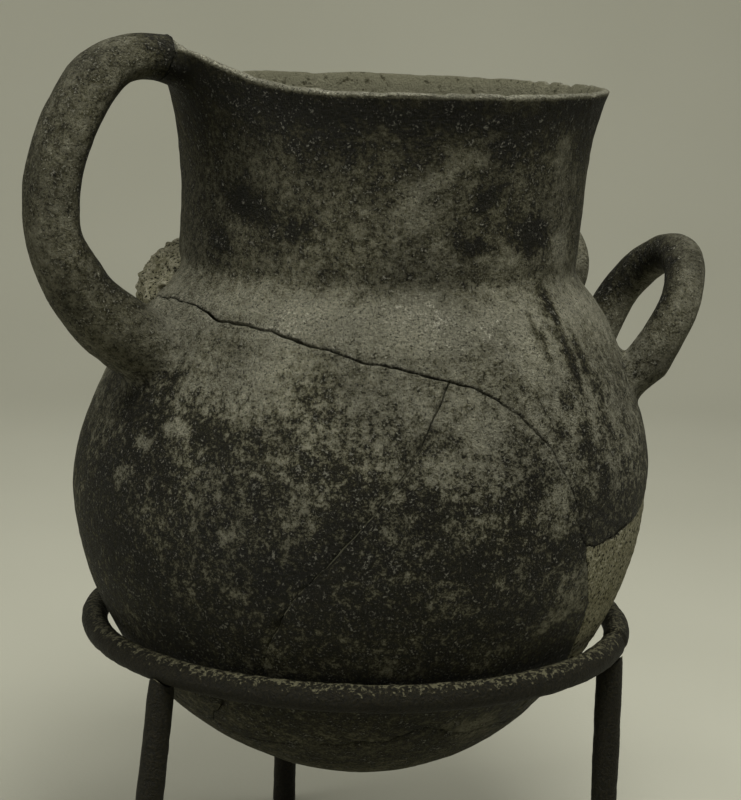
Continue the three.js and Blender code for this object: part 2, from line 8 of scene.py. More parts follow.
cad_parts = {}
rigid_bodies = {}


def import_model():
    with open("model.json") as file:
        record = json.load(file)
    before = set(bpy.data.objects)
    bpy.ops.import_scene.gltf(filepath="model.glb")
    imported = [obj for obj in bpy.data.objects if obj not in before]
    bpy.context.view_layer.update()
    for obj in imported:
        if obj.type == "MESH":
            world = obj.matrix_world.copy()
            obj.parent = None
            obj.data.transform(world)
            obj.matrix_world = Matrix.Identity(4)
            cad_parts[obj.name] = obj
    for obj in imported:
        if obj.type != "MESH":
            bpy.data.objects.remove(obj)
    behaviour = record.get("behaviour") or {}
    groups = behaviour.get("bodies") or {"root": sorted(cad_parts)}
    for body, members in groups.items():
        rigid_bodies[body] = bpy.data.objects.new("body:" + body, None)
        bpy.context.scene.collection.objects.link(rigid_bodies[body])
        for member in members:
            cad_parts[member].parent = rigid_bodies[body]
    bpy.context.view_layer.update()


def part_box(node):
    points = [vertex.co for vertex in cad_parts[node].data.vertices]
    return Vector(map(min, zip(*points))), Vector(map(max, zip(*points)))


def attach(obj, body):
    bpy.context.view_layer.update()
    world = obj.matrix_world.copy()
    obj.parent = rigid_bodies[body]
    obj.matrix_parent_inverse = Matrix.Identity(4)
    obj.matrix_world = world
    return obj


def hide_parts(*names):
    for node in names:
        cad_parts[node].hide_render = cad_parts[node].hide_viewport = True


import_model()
scene = bpy.context.scene

mm = 0.001
ringLow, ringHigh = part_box("stand_ring")
middle = (np.array(ringLow) + np.array(ringHigh)) / 2
floorHeight = -middle[2] / mm


# Small tools for numbers

def smooth(low, high, value):
    share = np.clip((value - low) / (high - low), 0, 1)
    return share * share * (3 - 2 * share)


def lerp(low, high, share):
    return low + (high - low) * share


def unit(vectors):
    vectors = np.asarray(vectors, float)
    return vectors / np.maximum(np.linalg.norm(vectors, axis=-1, keepdims=True), 1e-9)


def polar(radius, angle, height):
    turn = np.radians(angle)
    return np.stack(np.broadcast_arrays(radius * np.cos(turn), radius * np.sin(turn), height), axis=-1)


def turned(points, degrees):
    # points turned about the upright axis
    turn = math.radians(degrees)
    cosine, sine = math.cos(turn), math.sin(turn)
    x, y, z = points[..., 0], points[..., 1], points[..., 2]
    return np.stack([x * cosine - y * sine, x * sine + y * cosine, z], axis=-1)


def turnBetween(angle, centre):
    # angle seen from centre, between -180 and 180
    return (angle - centre + 180) % 360 - 180


def eased(stations, place):
    # a value read from [place, value] stations, eased between them
    places, values = np.array(stations, float).T
    spot = np.clip(np.searchsorted(places, place) - 1, 0, len(places) - 2)
    share = smooth(places[spot], places[spot + 1], place)
    return lerp(values[spot], values[spot + 1], share)


def smoothThrough(knots, step, fineness=24):
    # an even walk along a smooth curve through the knots, its loops kept tight where knots are close
    knots = np.array(knots, float)
    knots = np.vstack([2 * knots[0] - knots[1], knots, 2 * knots[-1] - knots[-2]])
    gaps = np.maximum(np.sqrt(np.linalg.norm(np.diff(knots, axis=0), axis=1)), 1e-4)
    walk = [knots[1]]
    for i in range(1, len(knots) - 2):
        before, here, after = gaps[i - 1], gaps[i], gaps[i + 1]
        p0, p1, p2, p3 = knots[i - 1:i + 3]
        slopeIn = ((p1 - p0) / before - (p2 - p0) / (before + here) + (p2 - p1) / here) * here
        slopeOut = ((p2 - p1) / here - (p3 - p1) / (here + after) + (p3 - p2) / after) * here
        t = np.linspace(0, 1, fineness + 1)[1:, None]
        bend = (2 * t**3 - 3 * t**2 + 1) * p1 + (t**3 - 2 * t**2 + t) * slopeIn
        walk.extend(bend + (3 * t**2 - 2 * t**3) * p2 + (t**3 - t**2) * slopeOut)
    walk = np.array(walk)
    reach = np.concatenate([[0], np.cumsum(np.linalg.norm(np.diff(walk, axis=0), axis=1))])
    count = max(int(round(reach[-1] / step)), 2)
    even = np.linspace(0, reach[-1], count + 1)
    return np.stack([np.interp(even, reach, walk[:, k]) for k in range(walk.shape[1])], axis=1)


randomTable = np.random.default_rng(20).uniform(-1, 1, 4096)


def lumps(points, size, seed):
    # smooth lumps about as wide as size, between -1 and 1; large primes mix a cell's place into the table
    spot = np.asarray(points, float) / size + seed * 17.31
    cell = np.floor(spot).astype(np.int64)
    share = spot - cell
    share = share * share * (3 - 2 * share)
    total = np.zeros(spot.shape[:-1])
    for corner in np.ndindex(2, 2, 2):
        place = cell + np.array(corner)
        mixed = place[..., 0] * 73856093 ^ place[..., 1] * 19349663 ^ place[..., 2] * 83492791
        weight = np.ones(spot.shape[:-1])
        for axis in range(3):
            weight = weight * (share[..., axis] if corner[axis] else 1 - share[..., axis])
        total += weight * randomTable[(mixed ^ seed * 9176) % 4096]
    return total


def roughness(points, size, steps, seed):
    # lumps on lumps, each half as wide as the last and about half as high
    total, strength = 0, 1
    for step in range(steps):
        total = total + strength * lumps(points, size / 2**step, seed + step)
        strength *= 0.55
    return total


# Shape of the jug's wall

jug = {
    "bellyRadius": 160, "bellyHeight": 80, "baseDepth": 84, "bowlRoundness": 1.8,
    "neckRadius": 109.5, "neckFoot": 203, "rimRadius": 121, "rimHeight": 300, "neckFlare": 3.3,
    "wall": 7.5, "lip": 6, "lipRise": 2.1,
    # the rim is drawn up and out at the big handle, and in on each side of it
    "handleAngle": 180, "rimRise": 20, "rimPull": 13, "rimSpread": 19, "rimDepth": 62,
    "rimTuck": 6, "tuckAside": 30, "tuckSpread": 13,
    "bowlKnots": 24, "neckKnots": 9, "settleSteps": 7, "leastSlope": 0.25,
    "rowStep": 1.75, "innerStep": 4.5, "innerSkip": 6, "innerStop": 4, "lipRows": 12, "columns": 540,
}
# share of the way up from belly to neck, and share of the way out
shoulderKnots = [[0.16, 0.98], [0.33, 0.88], [0.57, 0.64], [0.74, 0.44], [0.86, 0.25], [0.95, 0.07]]
# the wall wanders off its axis: level and offset, towards wanderAngle
wanderAngle = -32
wander = [[-100, 2.5], [-64, -2.3], [-46, -0.7], [-12, -0.5], [41, 2.4], [89, 5], [138, 7.3]]
belowBelly = jug["bellyHeight"] + jug["baseDepth"]
aboveBelly = jug["neckFoot"] - jug["bellyHeight"]


def heightAt(level):
    # levels: -100 at the bottom, 0 at the belly's widest line, 100 at the neck's foot
    level = np.asarray(level, float)
    return jug["bellyHeight"] + np.where(level < 0, belowBelly, aboveBelly) * level / 100


def levelAt(height):
    rise = np.asarray(height, float) - jug["bellyHeight"]
    return rise / np.where(rise < 0, belowBelly, aboveBelly) * 100


def wanderAt(level):
    return polar(eased(wander, level), wanderAngle, 0)


def outlineKnots():
    # the turned outline: a round bowl, a sloping shoulder, and a neck that flares to the rim
    knots = []
    for turn in np.linspace(0, math.pi / 2, jug["bowlKnots"]):
        share = math.cos(turn)
        radius = jug["bellyRadius"] * math.sqrt(1 - share**jug["bowlRoundness"])
        knots.append([radius, jug["bellyHeight"] - belowBelly * share])
    for rise, out in shoulderKnots:
        knots.append([lerp(jug["neckRadius"], jug["bellyRadius"], out),
                      lerp(jug["bellyHeight"], jug["neckFoot"], rise)])
    for share in np.linspace(0, 1, jug["neckKnots"]):
        flare = (jug["rimRadius"] - jug["neckRadius"]) * share**jug["neckFlare"]
        knots.append([jug["neckRadius"] + flare, lerp(jug["neckFoot"], jug["rimHeight"], share)])
    return knots


outline = smoothThrough(outlineKnots(), jug["rowStep"])
outlineSlope = unit(np.gradient(outline, axis=0))
outlineNormal = np.stack([outlineSlope[:, 1], -outlineSlope[:, 0]], axis=1)


def radiusAt(height):
    return np.interp(height, outline[:, 1], outline[:, 0])


def rimPulled(angle, up):
    # how far the rim is drawn out towards the big handle, and in beside it
    fromHandle = turnBetween(angle, jug["handleAngle"])
    around = np.exp(-(fromHandle / jug["rimSpread"])**2)
    beside = np.exp(-((np.abs(fromHandle) - jug["tuckAside"]) / jug["tuckSpread"])**2)
    return around, jug["rimPull"] * around * up**2 - jug["rimTuck"] * beside * up**4


def handBuilt(points):
    # bends a turned shape into the hand-built one
    angle = np.degrees(np.arctan2(points[..., 1], points[..., 0]))
    up = smooth(jug["rimHeight"] - jug["rimDepth"], jug["rimHeight"], points[..., 2])
    around, pull = rimPulled(angle, up)
    radius = np.maximum(np.hypot(points[..., 0], points[..., 1]), 1e-6)
    scale = (radius + pull) / radius
    offset = wanderAt(levelAt(points[..., 2]))
    return np.stack([points[..., 0] * scale + offset[..., 0],
                     points[..., 1] * scale + offset[..., 1],
                     points[..., 2] + jug["rimRise"] * around * up], axis=-1)


def onWall(angle, level, depth=0):
    height = heightAt(level)
    return handBuilt(polar(radiusAt(height) - depth, angle, height))


def wallPlace(points):
    # angle, level and depth under the outside of the wall, for points in the bent shape
    flat = points - wanderAt(levelAt(points[..., 2]))
    angle = np.degrees(np.arctan2(flat[..., 1], flat[..., 0]))
    height = points[..., 2].copy()
    for _ in range(jug["settleSteps"]):      # the rim's rise depends on the height that is looked for
        up = smooth(jug["rimHeight"] - jug["rimDepth"], jug["rimHeight"], height)
        around, pull = rimPulled(angle, up)
        height = points[..., 2] - jug["rimRise"] * around * up
    radius = np.hypot(flat[..., 0], flat[..., 1]) - pull
    slope = np.interp(height, outline[:, 1], outlineNormal[:, 0])
    depth = (radiusAt(height) - radius) * np.maximum(slope, jug["leastSlope"])
    return angle % 360, levelAt(height), depth


# Joins between the sherds, as [angle, level] places on the wall

fork = [254.7, 66.3]
handleFork = [512, 84.6]
hindFork = [415, 30.9]
patchCorners = {"topLeft": [286, -4.3], "topRight": [326, 6.5],
                "footLeft": [295, -47.6], "footRight": [326, -45.1]}
baseForks = {"front": [215.6, -75.6], "right": [290.5, -72], "hind": [417, -72], "side": [510, -67.7]}
chipCorners = {"start": [196, -71], "end": [180, -63.4]}
joins = {
    "mainCrack": [[152, 84.6], [168, 86.2], [180, 87.4], [190, 86.6], [197, 83.7], [211, 82.9],
                  [221.5, 79.3], [233, 74.8], [241, 72], [250.5, 67.9], fork],
    "rightCrack": [fork, [263.5, 60.2], [270, 52], [275, 41.5], [278, 30.9], [281.5, 14.6], [284.5, -1.8],
                   patchCorners["topLeft"]],
    "branchCrack": [fork, [252, 55.3], [247, 36.6], [243, 23.6], [239.5, 13], [235.5, 0.8], [231.5, -7.9],
                    [227, -16.5], [222, -30.5], [219, -43.9], [217, -59.8], baseForks["front"]],
    "patchTop": [patchCorners["topLeft"], [290, -4.9], [300, -3.4], [309, -0.6], [318, 4.9],
                 patchCorners["topRight"]],
    "patchLeft": [patchCorners["topLeft"], [288, -14.6], [291.5, -26.2], [293.5, -39.6],
                  patchCorners["footLeft"]],
    "patchFoot": [patchCorners["footLeft"], [306, -50.6], [318, -48.2], patchCorners["footRight"]],
    "patchRight": [patchCorners["footRight"], [329, -30.5], [325, -13.4], patchCorners["topRight"]],
    "patchStem": [patchCorners["footLeft"], [292, -59.8], baseForks["right"]],
    "backCrack": [patchCorners["topRight"], [340, 9.8], [356, 3.3], [372, 8.1], [388, 13.8], [402, 26],
                  hindFork],
    "upperBackCrack": [hindFork, [432, 45.5], [450, 58.5], [466, 71.5], [484, 81.3], [498, 82.9],
                       handleFork],
    "sideCrack": [handleFork, [515, 56.9], [509, 26], [514, -2.4], [508, -25.6], [512, -46.3],
                  baseForks["side"]],
    "hindCrack": [hindFork, [418, 6.5], [412, -13.4], [417, -34.1], [414, -52.4], baseForks["hind"]],
    "baseLeft": [chipCorners["end"], [185.5, -65.5], chipCorners["start"], [201, -75.6],
                 baseForks["front"]],
    "baseFront": [baseForks["front"], [225, -74.1], [235.5, -72.9], [247, -71], [252.3, -68.9],
                  [258.5, -65.9], [266, -69.5], [273.5, -71], [279, -71], baseForks["right"]],
    "baseRight": [baseForks["right"], [306, -70.1], [322, -73.2], [340, -69.5], [358, -73.8], [376, -71.3],
                  [396, -75], baseForks["hind"]],
    "baseBack": [baseForks["hind"], [436, -74.4], [456, -70.1], [474, -72.6], [492, -68.9],
                 baseForks["side"]],
    "baseHandle": [baseForks["side"], [526, -65.9], [540, -63.4]],
    "chipEdge": [chipCorners["start"], [205.4, -58.2], [196, -51.2], [182, -53], chipCorners["end"]],
}
cut = {
    "step": 2.5, "wobble": 0.9, "wobbleSize": 9, "jitter": 0.7, "jitterSize": 4, "calmEnds": 0.06,
    "overrun": 0.9, "deep": 14, "high": 4, "width": [[0, 0.45], [1, 0.45]], "levelStep": 1.4, "below": 20,
    "widthWaves": [[0.3, 14, 0], [0.25, 4, 1]],
}
crackWidths = {      # share of the way along, and width in mm
    "mainCrack": [[0, 0.35], [0.3, 0.5], [0.42, 1.7], [0.62, 1.8], [0.8, 1.2], [1, 1.1]],
    "rightCrack": [[0, 1.2], [0.4, 1.1], [0.7, 0.7], [1, 0.4]],
    "branchCrack": [[0, 0.8], [0.4, 0.7], [0.65, 0.5], [0.8, 0.3], [1, 0.25]],
}
# the cuts through the wall all aim at this point
heart = np.array([0, 0, jug["bellyHeight"] - cut["below"]])


def joinPath(name, seed):
    # places along a join, walked in small uneven steps whose ends stay where joins meet
    stations = np.array(joins[name], float)
    # mm for a degree and for a level
    spread = np.array([jug["bellyRadius"] * math.pi / 180, cut["levelStep"]])
    walk = smoothThrough(stations * spread, cut["step"]) / spread
    along = np.linspace(0, 1, len(walk))
    free = np.minimum(smooth(0, cut["calmEnds"], along), smooth(1, 1 - cut["calmEnds"], along))
    wall = onWall(walk[:, 0], walk[:, 1])
    uneven = lumps(wall, cut["wobbleSize"], seed) + cut["jitter"] * lumps(wall, cut["jitterSize"], seed + 1)
    shift = cut["wobble"] * uneven * free
    slope = unit(np.gradient(walk * spread, axis=0))
    return walk + np.stack([-slope[:, 1], slope[:, 0]], axis=1) * shift[:, None] / spread


joinPaths = {name: joinPath(name, 40 + 3 * i) for i, name in enumerate(joins)}


def unbentWall(path):
    height = heightAt(path[:, 1])
    return polar(radiusAt(height), path[:, 0], height)


def treeOf(points):
    tree = kdtree.KDTree(len(points))
    for i, point in enumerate(points):
        tree.insert(Vector(point), i)
    tree.balance()
    return tree


def nearnessTree(names):
    return treeOf(np.vstack([unbentWall(joinPaths[name]) for name in names]))


joinTree = nearnessTree(joins)


def joinDistance(points, tree=joinTree):
    distances = [tree.find(Vector(point))[2] for point in points.reshape(-1, 3)]
    return np.array(distances).reshape(points.shape[:-1])


def nearestIn(points, others):
    # number of the nearest of the others, and how far away it is, for each point
    tree = treeOf(others)
    return np.array([tree.find(Vector(point))[1:] for point in points])


def closedOutline(*names):
    # corners of a region from joins that follow each other, a minus sign for a join walked backwards
    corners = []
    for name in names:
        path = joinPaths[name.lstrip("-")]
        path = path[::-1] if name.startswith("-") else path
        corners.extend(path[:-1])
    return np.array(corners)


def insideOutline(corners, angle, level):
    # whether places lie inside a region, told by how often its border is crossed on the way out
    angle = np.where(angle < corners[:, 0].min() - 5, angle + 360, angle)
    inside = np.zeros(angle.shape, bool)
    for (a0, l0), (a1, l1) in zip(corners, np.roll(corners, -1, axis=0)):
        if l0 != l1:
            crosses = (l0 > level) != (l1 > level)
            inside ^= crosses & (angle < (a1 - a0) * (level - l0) / (l1 - l0) + a0)
    return inside


patchOutline = closedOutline("patchTop", "-patchRight", "-patchFoot", "-patchLeft")
print("joins walked:", len(joinPaths))


# Meshes

farAway = 99.0
crumbSize = 300      # solids with fewer points than this are crumbs of a cut


def signedVolume(points, faces):
    total = 0
    for group in faces:
        for k in range(1, group.shape[1] - 1):
            spans = np.cross(points[group[:, k]], points[group[:, k + 1]])
            total += (points[group[:, 0]] * spans).sum() / 6
    return total


def newMesh(name, points, faces):
    # a mesh with its faces turned outwards
    mesh = bpy.data.meshes.new(name)
    points = np.asarray(points, float)
    faces = [np.asarray(group) for group in faces]
    if signedVolume(points, faces) < 0:
        faces = [group[:, ::-1] for group in faces]
    points = points * mm + middle
    mesh.vertices.add(len(points))
    mesh.vertices.foreach_set("co", points.astype(np.float32).ravel())
    corners = np.concatenate([group.ravel() for group in faces])
    sizes = np.concatenate([np.full(len(group), group.shape[1]) for group in faces])
    starts = np.concatenate([[0], np.cumsum(sizes)[:-1]])
    mesh.loops.add(len(corners))
    mesh.loops.foreach_set("vertex_index", corners.astype(np.int32))
    mesh.polygons.add(len(sizes))
    mesh.polygons.foreach_set("loop_start", starts.astype(np.int32))
    mesh.update(calc_edges=True)
    mesh.validate()
    piece = bpy.data.objects.new(name, mesh)
    scene.collection.objects.link(piece)
    return piece


def meshPoints(piece):
    flat = np.empty(len(piece.data.vertices) * 3, np.float32)
    piece.data.vertices.foreach_get("co", flat)
    return (flat.reshape(-1, 3).astype(float) - middle) / mm


def setPoints(piece, points):
    flat = (np.asarray(points) * mm + middle).astype(np.float32).ravel()
    piece.data.vertices.foreach_set("co", flat)
    piece.data.update()


def capFaces(ring, tip, columns, flip):
    # a fan from a point to a ring
    here = np.arange(columns) + ring * columns
    after = (np.arange(columns) + 1) % columns + ring * columns
    tips = np.full(columns, tip)
    return np.stack([tips, after, here] if flip else [tips, here, after], axis=-1)


def closedFaces(rows, columns):
    # quads between closed rings of points, and a fan over each end to the two points that follow them
    row = np.arange(rows - 1)[:, None] * columns
    here = np.arange(columns)[None, :]
    after = (here + 1) % columns
    quads = np.stack([row + here, row + after, row + columns + after, row + columns + here], axis=-1)
    tip = rows * columns
    caps = [capFaces(0, tip, columns, True), capFaces(rows - 1, tip + 1, columns, False)]
    return [quads.reshape(-1, 4), np.vstack(caps)]


def loft(name, rings):
    # a closed skin over rings of points
    rings = np.asarray(rings, float)
    points = np.vstack([rings.reshape(-1, 3), rings[0].mean(axis=0), rings[-1].mean(axis=0)])
    return newMesh(name, points, closedFaces(*rings.shape[:2]))


def combine(piece, other, operation):
    # joins or cuts with an exact solid tool, and uses the other piece up
    modifier = piece.modifiers.new("combine", "BOOLEAN")
    modifier.operation = operation
    modifier.object = other
    modifier.solver = "MANIFOLD"
    with bpy.context.temp_override(object=piece, active_object=piece, selected_objects=[piece]):
        bpy.ops.object.modifier_apply(modifier=modifier.name)
    bpy.data.objects.remove(other)
    return piece


def looseParts(piece):
    # the separate solids of a piece, with crumbs thrown away
    bpy.ops.object.select_all(action="DESELECT")
    before = set(bpy.data.objects)
    piece.select_set(True)
    bpy.context.view_layer.objects.active = piece
    bpy.ops.object.mode_set(mode="EDIT")
    bpy.ops.mesh.select_all(action="SELECT")
    bpy.ops.mesh.separate(type="LOOSE")
    bpy.ops.object.mode_set(mode="OBJECT")
    parts = [piece] + [o for o in bpy.data.objects if o not in before]
    kept = []
    for part in parts:
        if len(part.data.vertices) < crumbSize:
            bpy.data.objects.remove(part)
        else:
            kept.append(part)
    return kept


def largestPart(piece):
    # keeps the largest solid of a piece and throws the others away
    parts = sorted(looseParts(piece), key=lambda part: len(part.data.vertices))
    for scrap in parts[:-1]:
        bpy.data.objects.remove(scrap)
    return parts[-1]


def relax(piece, weights, rounds, pull=0.6):
    # lets points drift to the middle of their neighbours, where weights say so
    points = meshPoints(piece)
    pairs = np.empty(len(piece.data.edges) * 2, np.int32)
    piece.data.edges.foreach_get("vertices", pairs)
    pairs = pairs.reshape(-1, 2)
    pairs = pairs[(weights[pairs] > 0).any(axis=1)]
    first = np.concatenate([pairs[:, 0], pairs[:, 1]])
    second = np.concatenate([pairs[:, 1], pairs[:, 0]])
    degree = np.maximum(np.bincount(first, minlength=len(points)), 1)[:, None]
    for _ in range(rounds):
        total = np.stack([np.bincount(first, points[second, k], len(points)) for k in range(3)], axis=1)
        points = points + (total / degree - points) * (weights * pull)[:, None]
    setPoints(piece, points)


def dress(piece, material, body, nodes):
    # gives a piece its material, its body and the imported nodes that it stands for
    piece.data.materials.clear()
    piece.data.materials.append(material)
    piece.data.polygons.foreach_set("use_smooth", np.full(len(piece.data.polygons), True))
    piece.data.update()
    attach(piece, body)
    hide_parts(*nodes)


# Wall of the jug, inside and out, as one closed skin

relief = {      # height and size in mm of what repeats all over
    "wave": (0.5, 52), "palm": (0.3, 19), "dent": (0.12, 7), "grain": (0.12, 4.6), "wipe": (0.12, 3.5),
    "pit": (0.5, 5), "flake": (1.1, 10), "patchGrain": (0.4, 2.6),
    "rimWave": (0.45, 34), "rimDip": (0.35, 9),
    "neckLevels": (96, 104), "neckGrain": 1.5, "wipeStretch": (0.12, 0.12, 1),
    "pitFrom": 0.62, "inwards": 0.35,
    "edgeWear": 0.45, "edgeReach": 1.5, "edgeUneven": 0.8, "edgeSize": 6,
    "flakeFrom": (0.25, 0.6), "flakeReach": 3.2, "patchDepth": 1.1,
    "rimReach": 12, "chipUneven": 0.5, "chipSize": 4, "lipShare": 0.7, "insideShare": 0.5,
}
rimChips = [      # angle, half width in degrees, depth
    [-5, 2.2, 1.9], [-1, 1.1, 1.3], [5, 1.5, 1.6], [11, 1.1, 0.8], [27, 2.5, 0.6], [-15, 1.6, 0.7],
    [48, 2, 0.5], [78, 2.6, 0.6], [104, 2, 0.5], [131, 2.4, 0.7], [203, 1.6, 0.6], [224, 2.2, 0.8],
    [237, 1.2, 0.6],
    [251, 1.6, 0.5], [268, 1.4, 0.7], [283, 2, 0.6], [301, 1.5, 0.9],
]


def wallRows():
    # the wall's section from the middle of the bottom outside, over the lip, to the middle inside
    outside = outline[1:]
    towardsRim = smooth(jug["neckFoot"], jug["rimHeight"], outline[:, 1])
    inner = outline - outlineNormal * lerp(jug["wall"], jug["lip"], towardsRim)[:, None]
    inner[:, 0] = np.maximum(inner[:, 0], 0)
    innerEven = smoothThrough(inner[::jug["innerSkip"]][1:], jug["innerStep"])
    innerEven = innerEven[innerEven[:, 1] < jug["rimHeight"] - jug["innerStop"]]
    innerEven = np.vstack([innerEven, inner[-2:-1]])[::-1]
    lipTurns = np.linspace(0, math.pi, jug["lipRows"])[1:-1]
    lipMiddle = (outside[-1] + inner[-1]) / 2
    lip = np.stack([lipMiddle[0] + jug["lip"] / 2 * np.cos(lipTurns),
                    jug["rimHeight"] + jug["lipRise"] * np.sin(lipTurns)], axis=1)
    lipNormal = np.stack([np.cos(lipTurns), np.sin(lipTurns)], axis=1)
    rows = np.vstack([outside, lip, innerEven])
    normals = np.vstack([outlineNormal[1:], lipNormal, np.tile([-1.0, 0.0], (len(innerEven), 1))])
    counts = [len(outside), len(lip), len(innerEven)]
    shares = np.repeat([1, relief["lipShare"], relief["insideShare"]], counts)
    return rows, normals, shares, len(outside)


def raised(name, place, seed):
    height, size = relief[name]
    return height * lumps(place, size, seed)


def handMarks(place, level):
    # swells, dents, grain and pits of a wall shaped by hand, and wiping marks round its neck
    neck = smooth(*relief["neckLevels"], level)
    rise = raised("wave", place, 1) + raised("palm", place, 2)
    rise = rise + relief["dent"][0] * roughness(place, relief["dent"][1], 2, 3)
    wiped = raised("wipe", place * np.array(relief["wipeStretch"]), 9)
    rise = rise + raised("grain", place, 6) * lerp(1, relief["neckGrain"], neck) + wiped * neck
    pits = np.maximum(lumps(place, relief["pit"][1], 11) - relief["pitFrom"], 0) / (1 - relief["pitFrom"])
    return rise - relief["pit"][0] * pits - relief["inwards"]


def wallRise(place, angle, outsideCount):
    # how far the skin stands out: hand marks, worn and flaked edges at the joins, grit on the patch
    level = levelAt(place[..., 2])
    distance = np.full(place.shape[:2], farAway)
    distance[:outsideCount] = joinDistance(place[:outsideCount])
    uneven = 1 + relief["edgeUneven"] * lumps(place, relief["edgeSize"], 13)
    wear = relief["edgeWear"] * uneven * np.exp(-(distance / relief["edgeReach"])**2)
    flakeDepth, flakeSize = relief["flake"]
    flake = smooth(*relief["flakeFrom"], lumps(place, flakeSize, 14))
    flake = flake * np.exp(-(distance / relief["flakeReach"])**2)
    patch = insideOutline(patchOutline, np.broadcast_to(angle[None, :], level.shape), level)
    patch[outsideCount:] = False
    grit = relief["patchGrain"][0] * roughness(place, relief["patchGrain"][1], 2, 16)
    return np.where(patch, grit - relief["patchDepth"], handMarks(place, level) - wear - flakeDepth * flake)


def rimDrop(place, angle):
    # how the lip rises and falls, and the chips out of it
    flat = place * np.array([1, 1, 0])
    drop = raised("rimWave", flat, 18) + raised("rimDip", flat, 19)
    uneven = 1 + relief["chipUneven"] * lumps(place, relief["chipSize"], 20)
    for chipAngle, spread, depth in rimChips:
        around = turnBetween(angle, chipAngle) / spread
        drop = drop - depth * np.exp(-around**4)[None, :] * uneven
    return drop * smooth(jug["rimHeight"] - relief["rimReach"], jug["rimHeight"], place[..., 2])


def makeWall():
    rows, normals, shares, outsideCount = wallRows()
    columns = jug["columns"]
    angle = np.arange(columns) * 360 / columns
    place = polar(rows[:, :1], angle[None, :], rows[:, 1:])
    ways = polar(normals[:, :1], angle[None, :], normals[:, 1:])
    rise = wallRise(place, angle, outsideCount) * shares[:, None]
    points = place + ways * rise[..., None]
    points[..., 2] += rimDrop(place, angle)
    ends = [[0, 0, rows[0, 1]], [0, 0, rows[-1, 1]]]
    points = handBuilt(np.vstack([points.reshape(-1, 3), ends]))
    return newMesh("wall", points, closedFaces(len(rows), columns))


# Big handle: a bar from the rim to the shoulder, broken and mended at its top

bigHandle = {
    "angle": jug["handleAngle"], "depth": 28, "width": 36, "overhang": 29, "topRise": 14, "footLevel": 68.3,
    "sides": 88, "step": 1.8, "shareShown": 0.935, "clearOfWall": 13, "blendRings": 40, "upperRings": 80,
    "footHalfUp": 28, "footHalfSide": 37, "footLift": -2, "footStart": 40, "footEnd": 34, "footSpread": 1.5,
    "stub": 7, "breakLean": 16, "breakGap": 1.0, "breakReach": 34, "breakRows": 29,
    "breakWaves": [[1.5, 15, 71], [0.8, 5, 72]],      # height and size in mm, and seed
    "slip": 0.41, "lime": 0.13,
}
handleFoot = {
    "sink": 0.2, "edgeSink": 2.2, "waves": [[0.05, 2, 1], [0.03, 5, 0]],      # share, count and start
}
mouth = {"below": 75, "above": 45, "wider": 1.6, "rows": 30, "columns": 120}
corner = {      # the corner between bar and rim, which is rounded
    "depth": 22, "aside": 90, "below": 60, "reach": 8, "rounds": 46, "least": 0.02, "same": 0.02,
}
# uneven skins, as height and size in mm: shaped by hand, and forged
handSkin = {"wave": (0.5, 30), "dent": (0.3, 11), "grain": (0.12, 4), "sink": 0.25}
forgedSkin = {"wave": (0.24, 22), "dent": (0.22, 6), "grain": (0.1, 2.6), "sink": 0.3}
bigHandleShape = [      # centre line, as shares of its reach and its height
    [-0.34, 0.975], [0, 0.995], [0.2, 1], [0.42, 0.98], [0.61, 0.925], [0.77, 0.83], [0.895, 0.72],
    [0.98, 0.6], [1, 0.49], [0.955, 0.375], [0.83, 0.27], [0.68, 0.18], [0.5, 0.105], [0.28, 0.04],
    [0.02, -0.03],
]
bigHandleSwell = [      # share of the way along, and how much thicker than the bar's middle
    [0, 1.15], [0.05, 1], [0.09, 0.87], [0.16, 0.88], [0.26, 1], [0.56, 1], [0.7, 1.16], [0.83, 1.36],
    [0.93, 1.6], [1, 1.6],
]


def barRings(line, side, sizes, sides):
    # rings across a bar; sizes holds half depth and half width for each
    along = unit(np.gradient(line, axis=0))
    outward = unit(np.cross(side, along))
    turn = np.linspace(0, 2 * math.pi, sides, endpoint=False)
    depth = outward[:, None, :] * (sizes[:, 0, None] * np.cos(turn))[..., None]
    width = -np.asarray(side) * (sizes[:, 1, None] * np.sin(turn))[..., None]
    return line[:, None, :] + depth + width, along


def footOnWall(centre, halfUp, halfSide, beside):
    # a closed curve round the foot of a handle, laid on the wall, and the way it spreads
    angle, level, _ = wallPlace(centre[None, :])
    middlePoint = onWall(angle, level)[0]
    up = unit(onWall(angle, level + 1)[0] - middlePoint)
    aside = unit(onWall(angle + 1, level)[0] - middlePoint)
    turn = np.linspace(0, 2 * math.pi, len(beside), endpoint=False)
    uneven = 1
    for share, count, start in handleFoot["waves"]:
        uneven = uneven + share * np.sin(count * turn + start)
    flat = up * (halfUp * uneven * np.cos(turn))[:, None]
    flat = flat + aside * (halfSide * uneven * np.sin(turn))[:, None]
    flat = alignRing(flat, beside)
    return snapToWall(middlePoint + flat, handleFoot["sink"]), unit(flat)


def alignRing(ring, beside):
    # turns a ring's numbering, and its sense, to run beside another ring
    goal = unit(beside - beside.mean(axis=0))
    best, choice = -np.inf, None
    for sense in (1, -1):
        for shift in range(len(ring)):
            order = (sense * np.arange(len(ring)) + shift) % len(ring)
            fit = (unit(ring[order]) * goal).sum()
            if fit > best:
                best, choice = fit, order
    return ring[choice]


def snapToWall(points, sink):
    angle, level, _ = wallPlace(points)
    return onWall(angle, level, sink)


def blendRings(fromRing, fromWay, toRing, toWay, count, startPull, endPull):
    # rings that leave a bar along its own direction and flow out along the wall
    t = np.linspace(0, 1, count + 1)[1:, None, None]
    bend = (2 * t**3 - 3 * t**2 + 1) * fromRing + (t**3 - 2 * t**2 + t) * fromWay * startPull
    return bend + (3 * t**2 - 2 * t**3) * toRing + (t**3 - t**2) * toWay * endPull


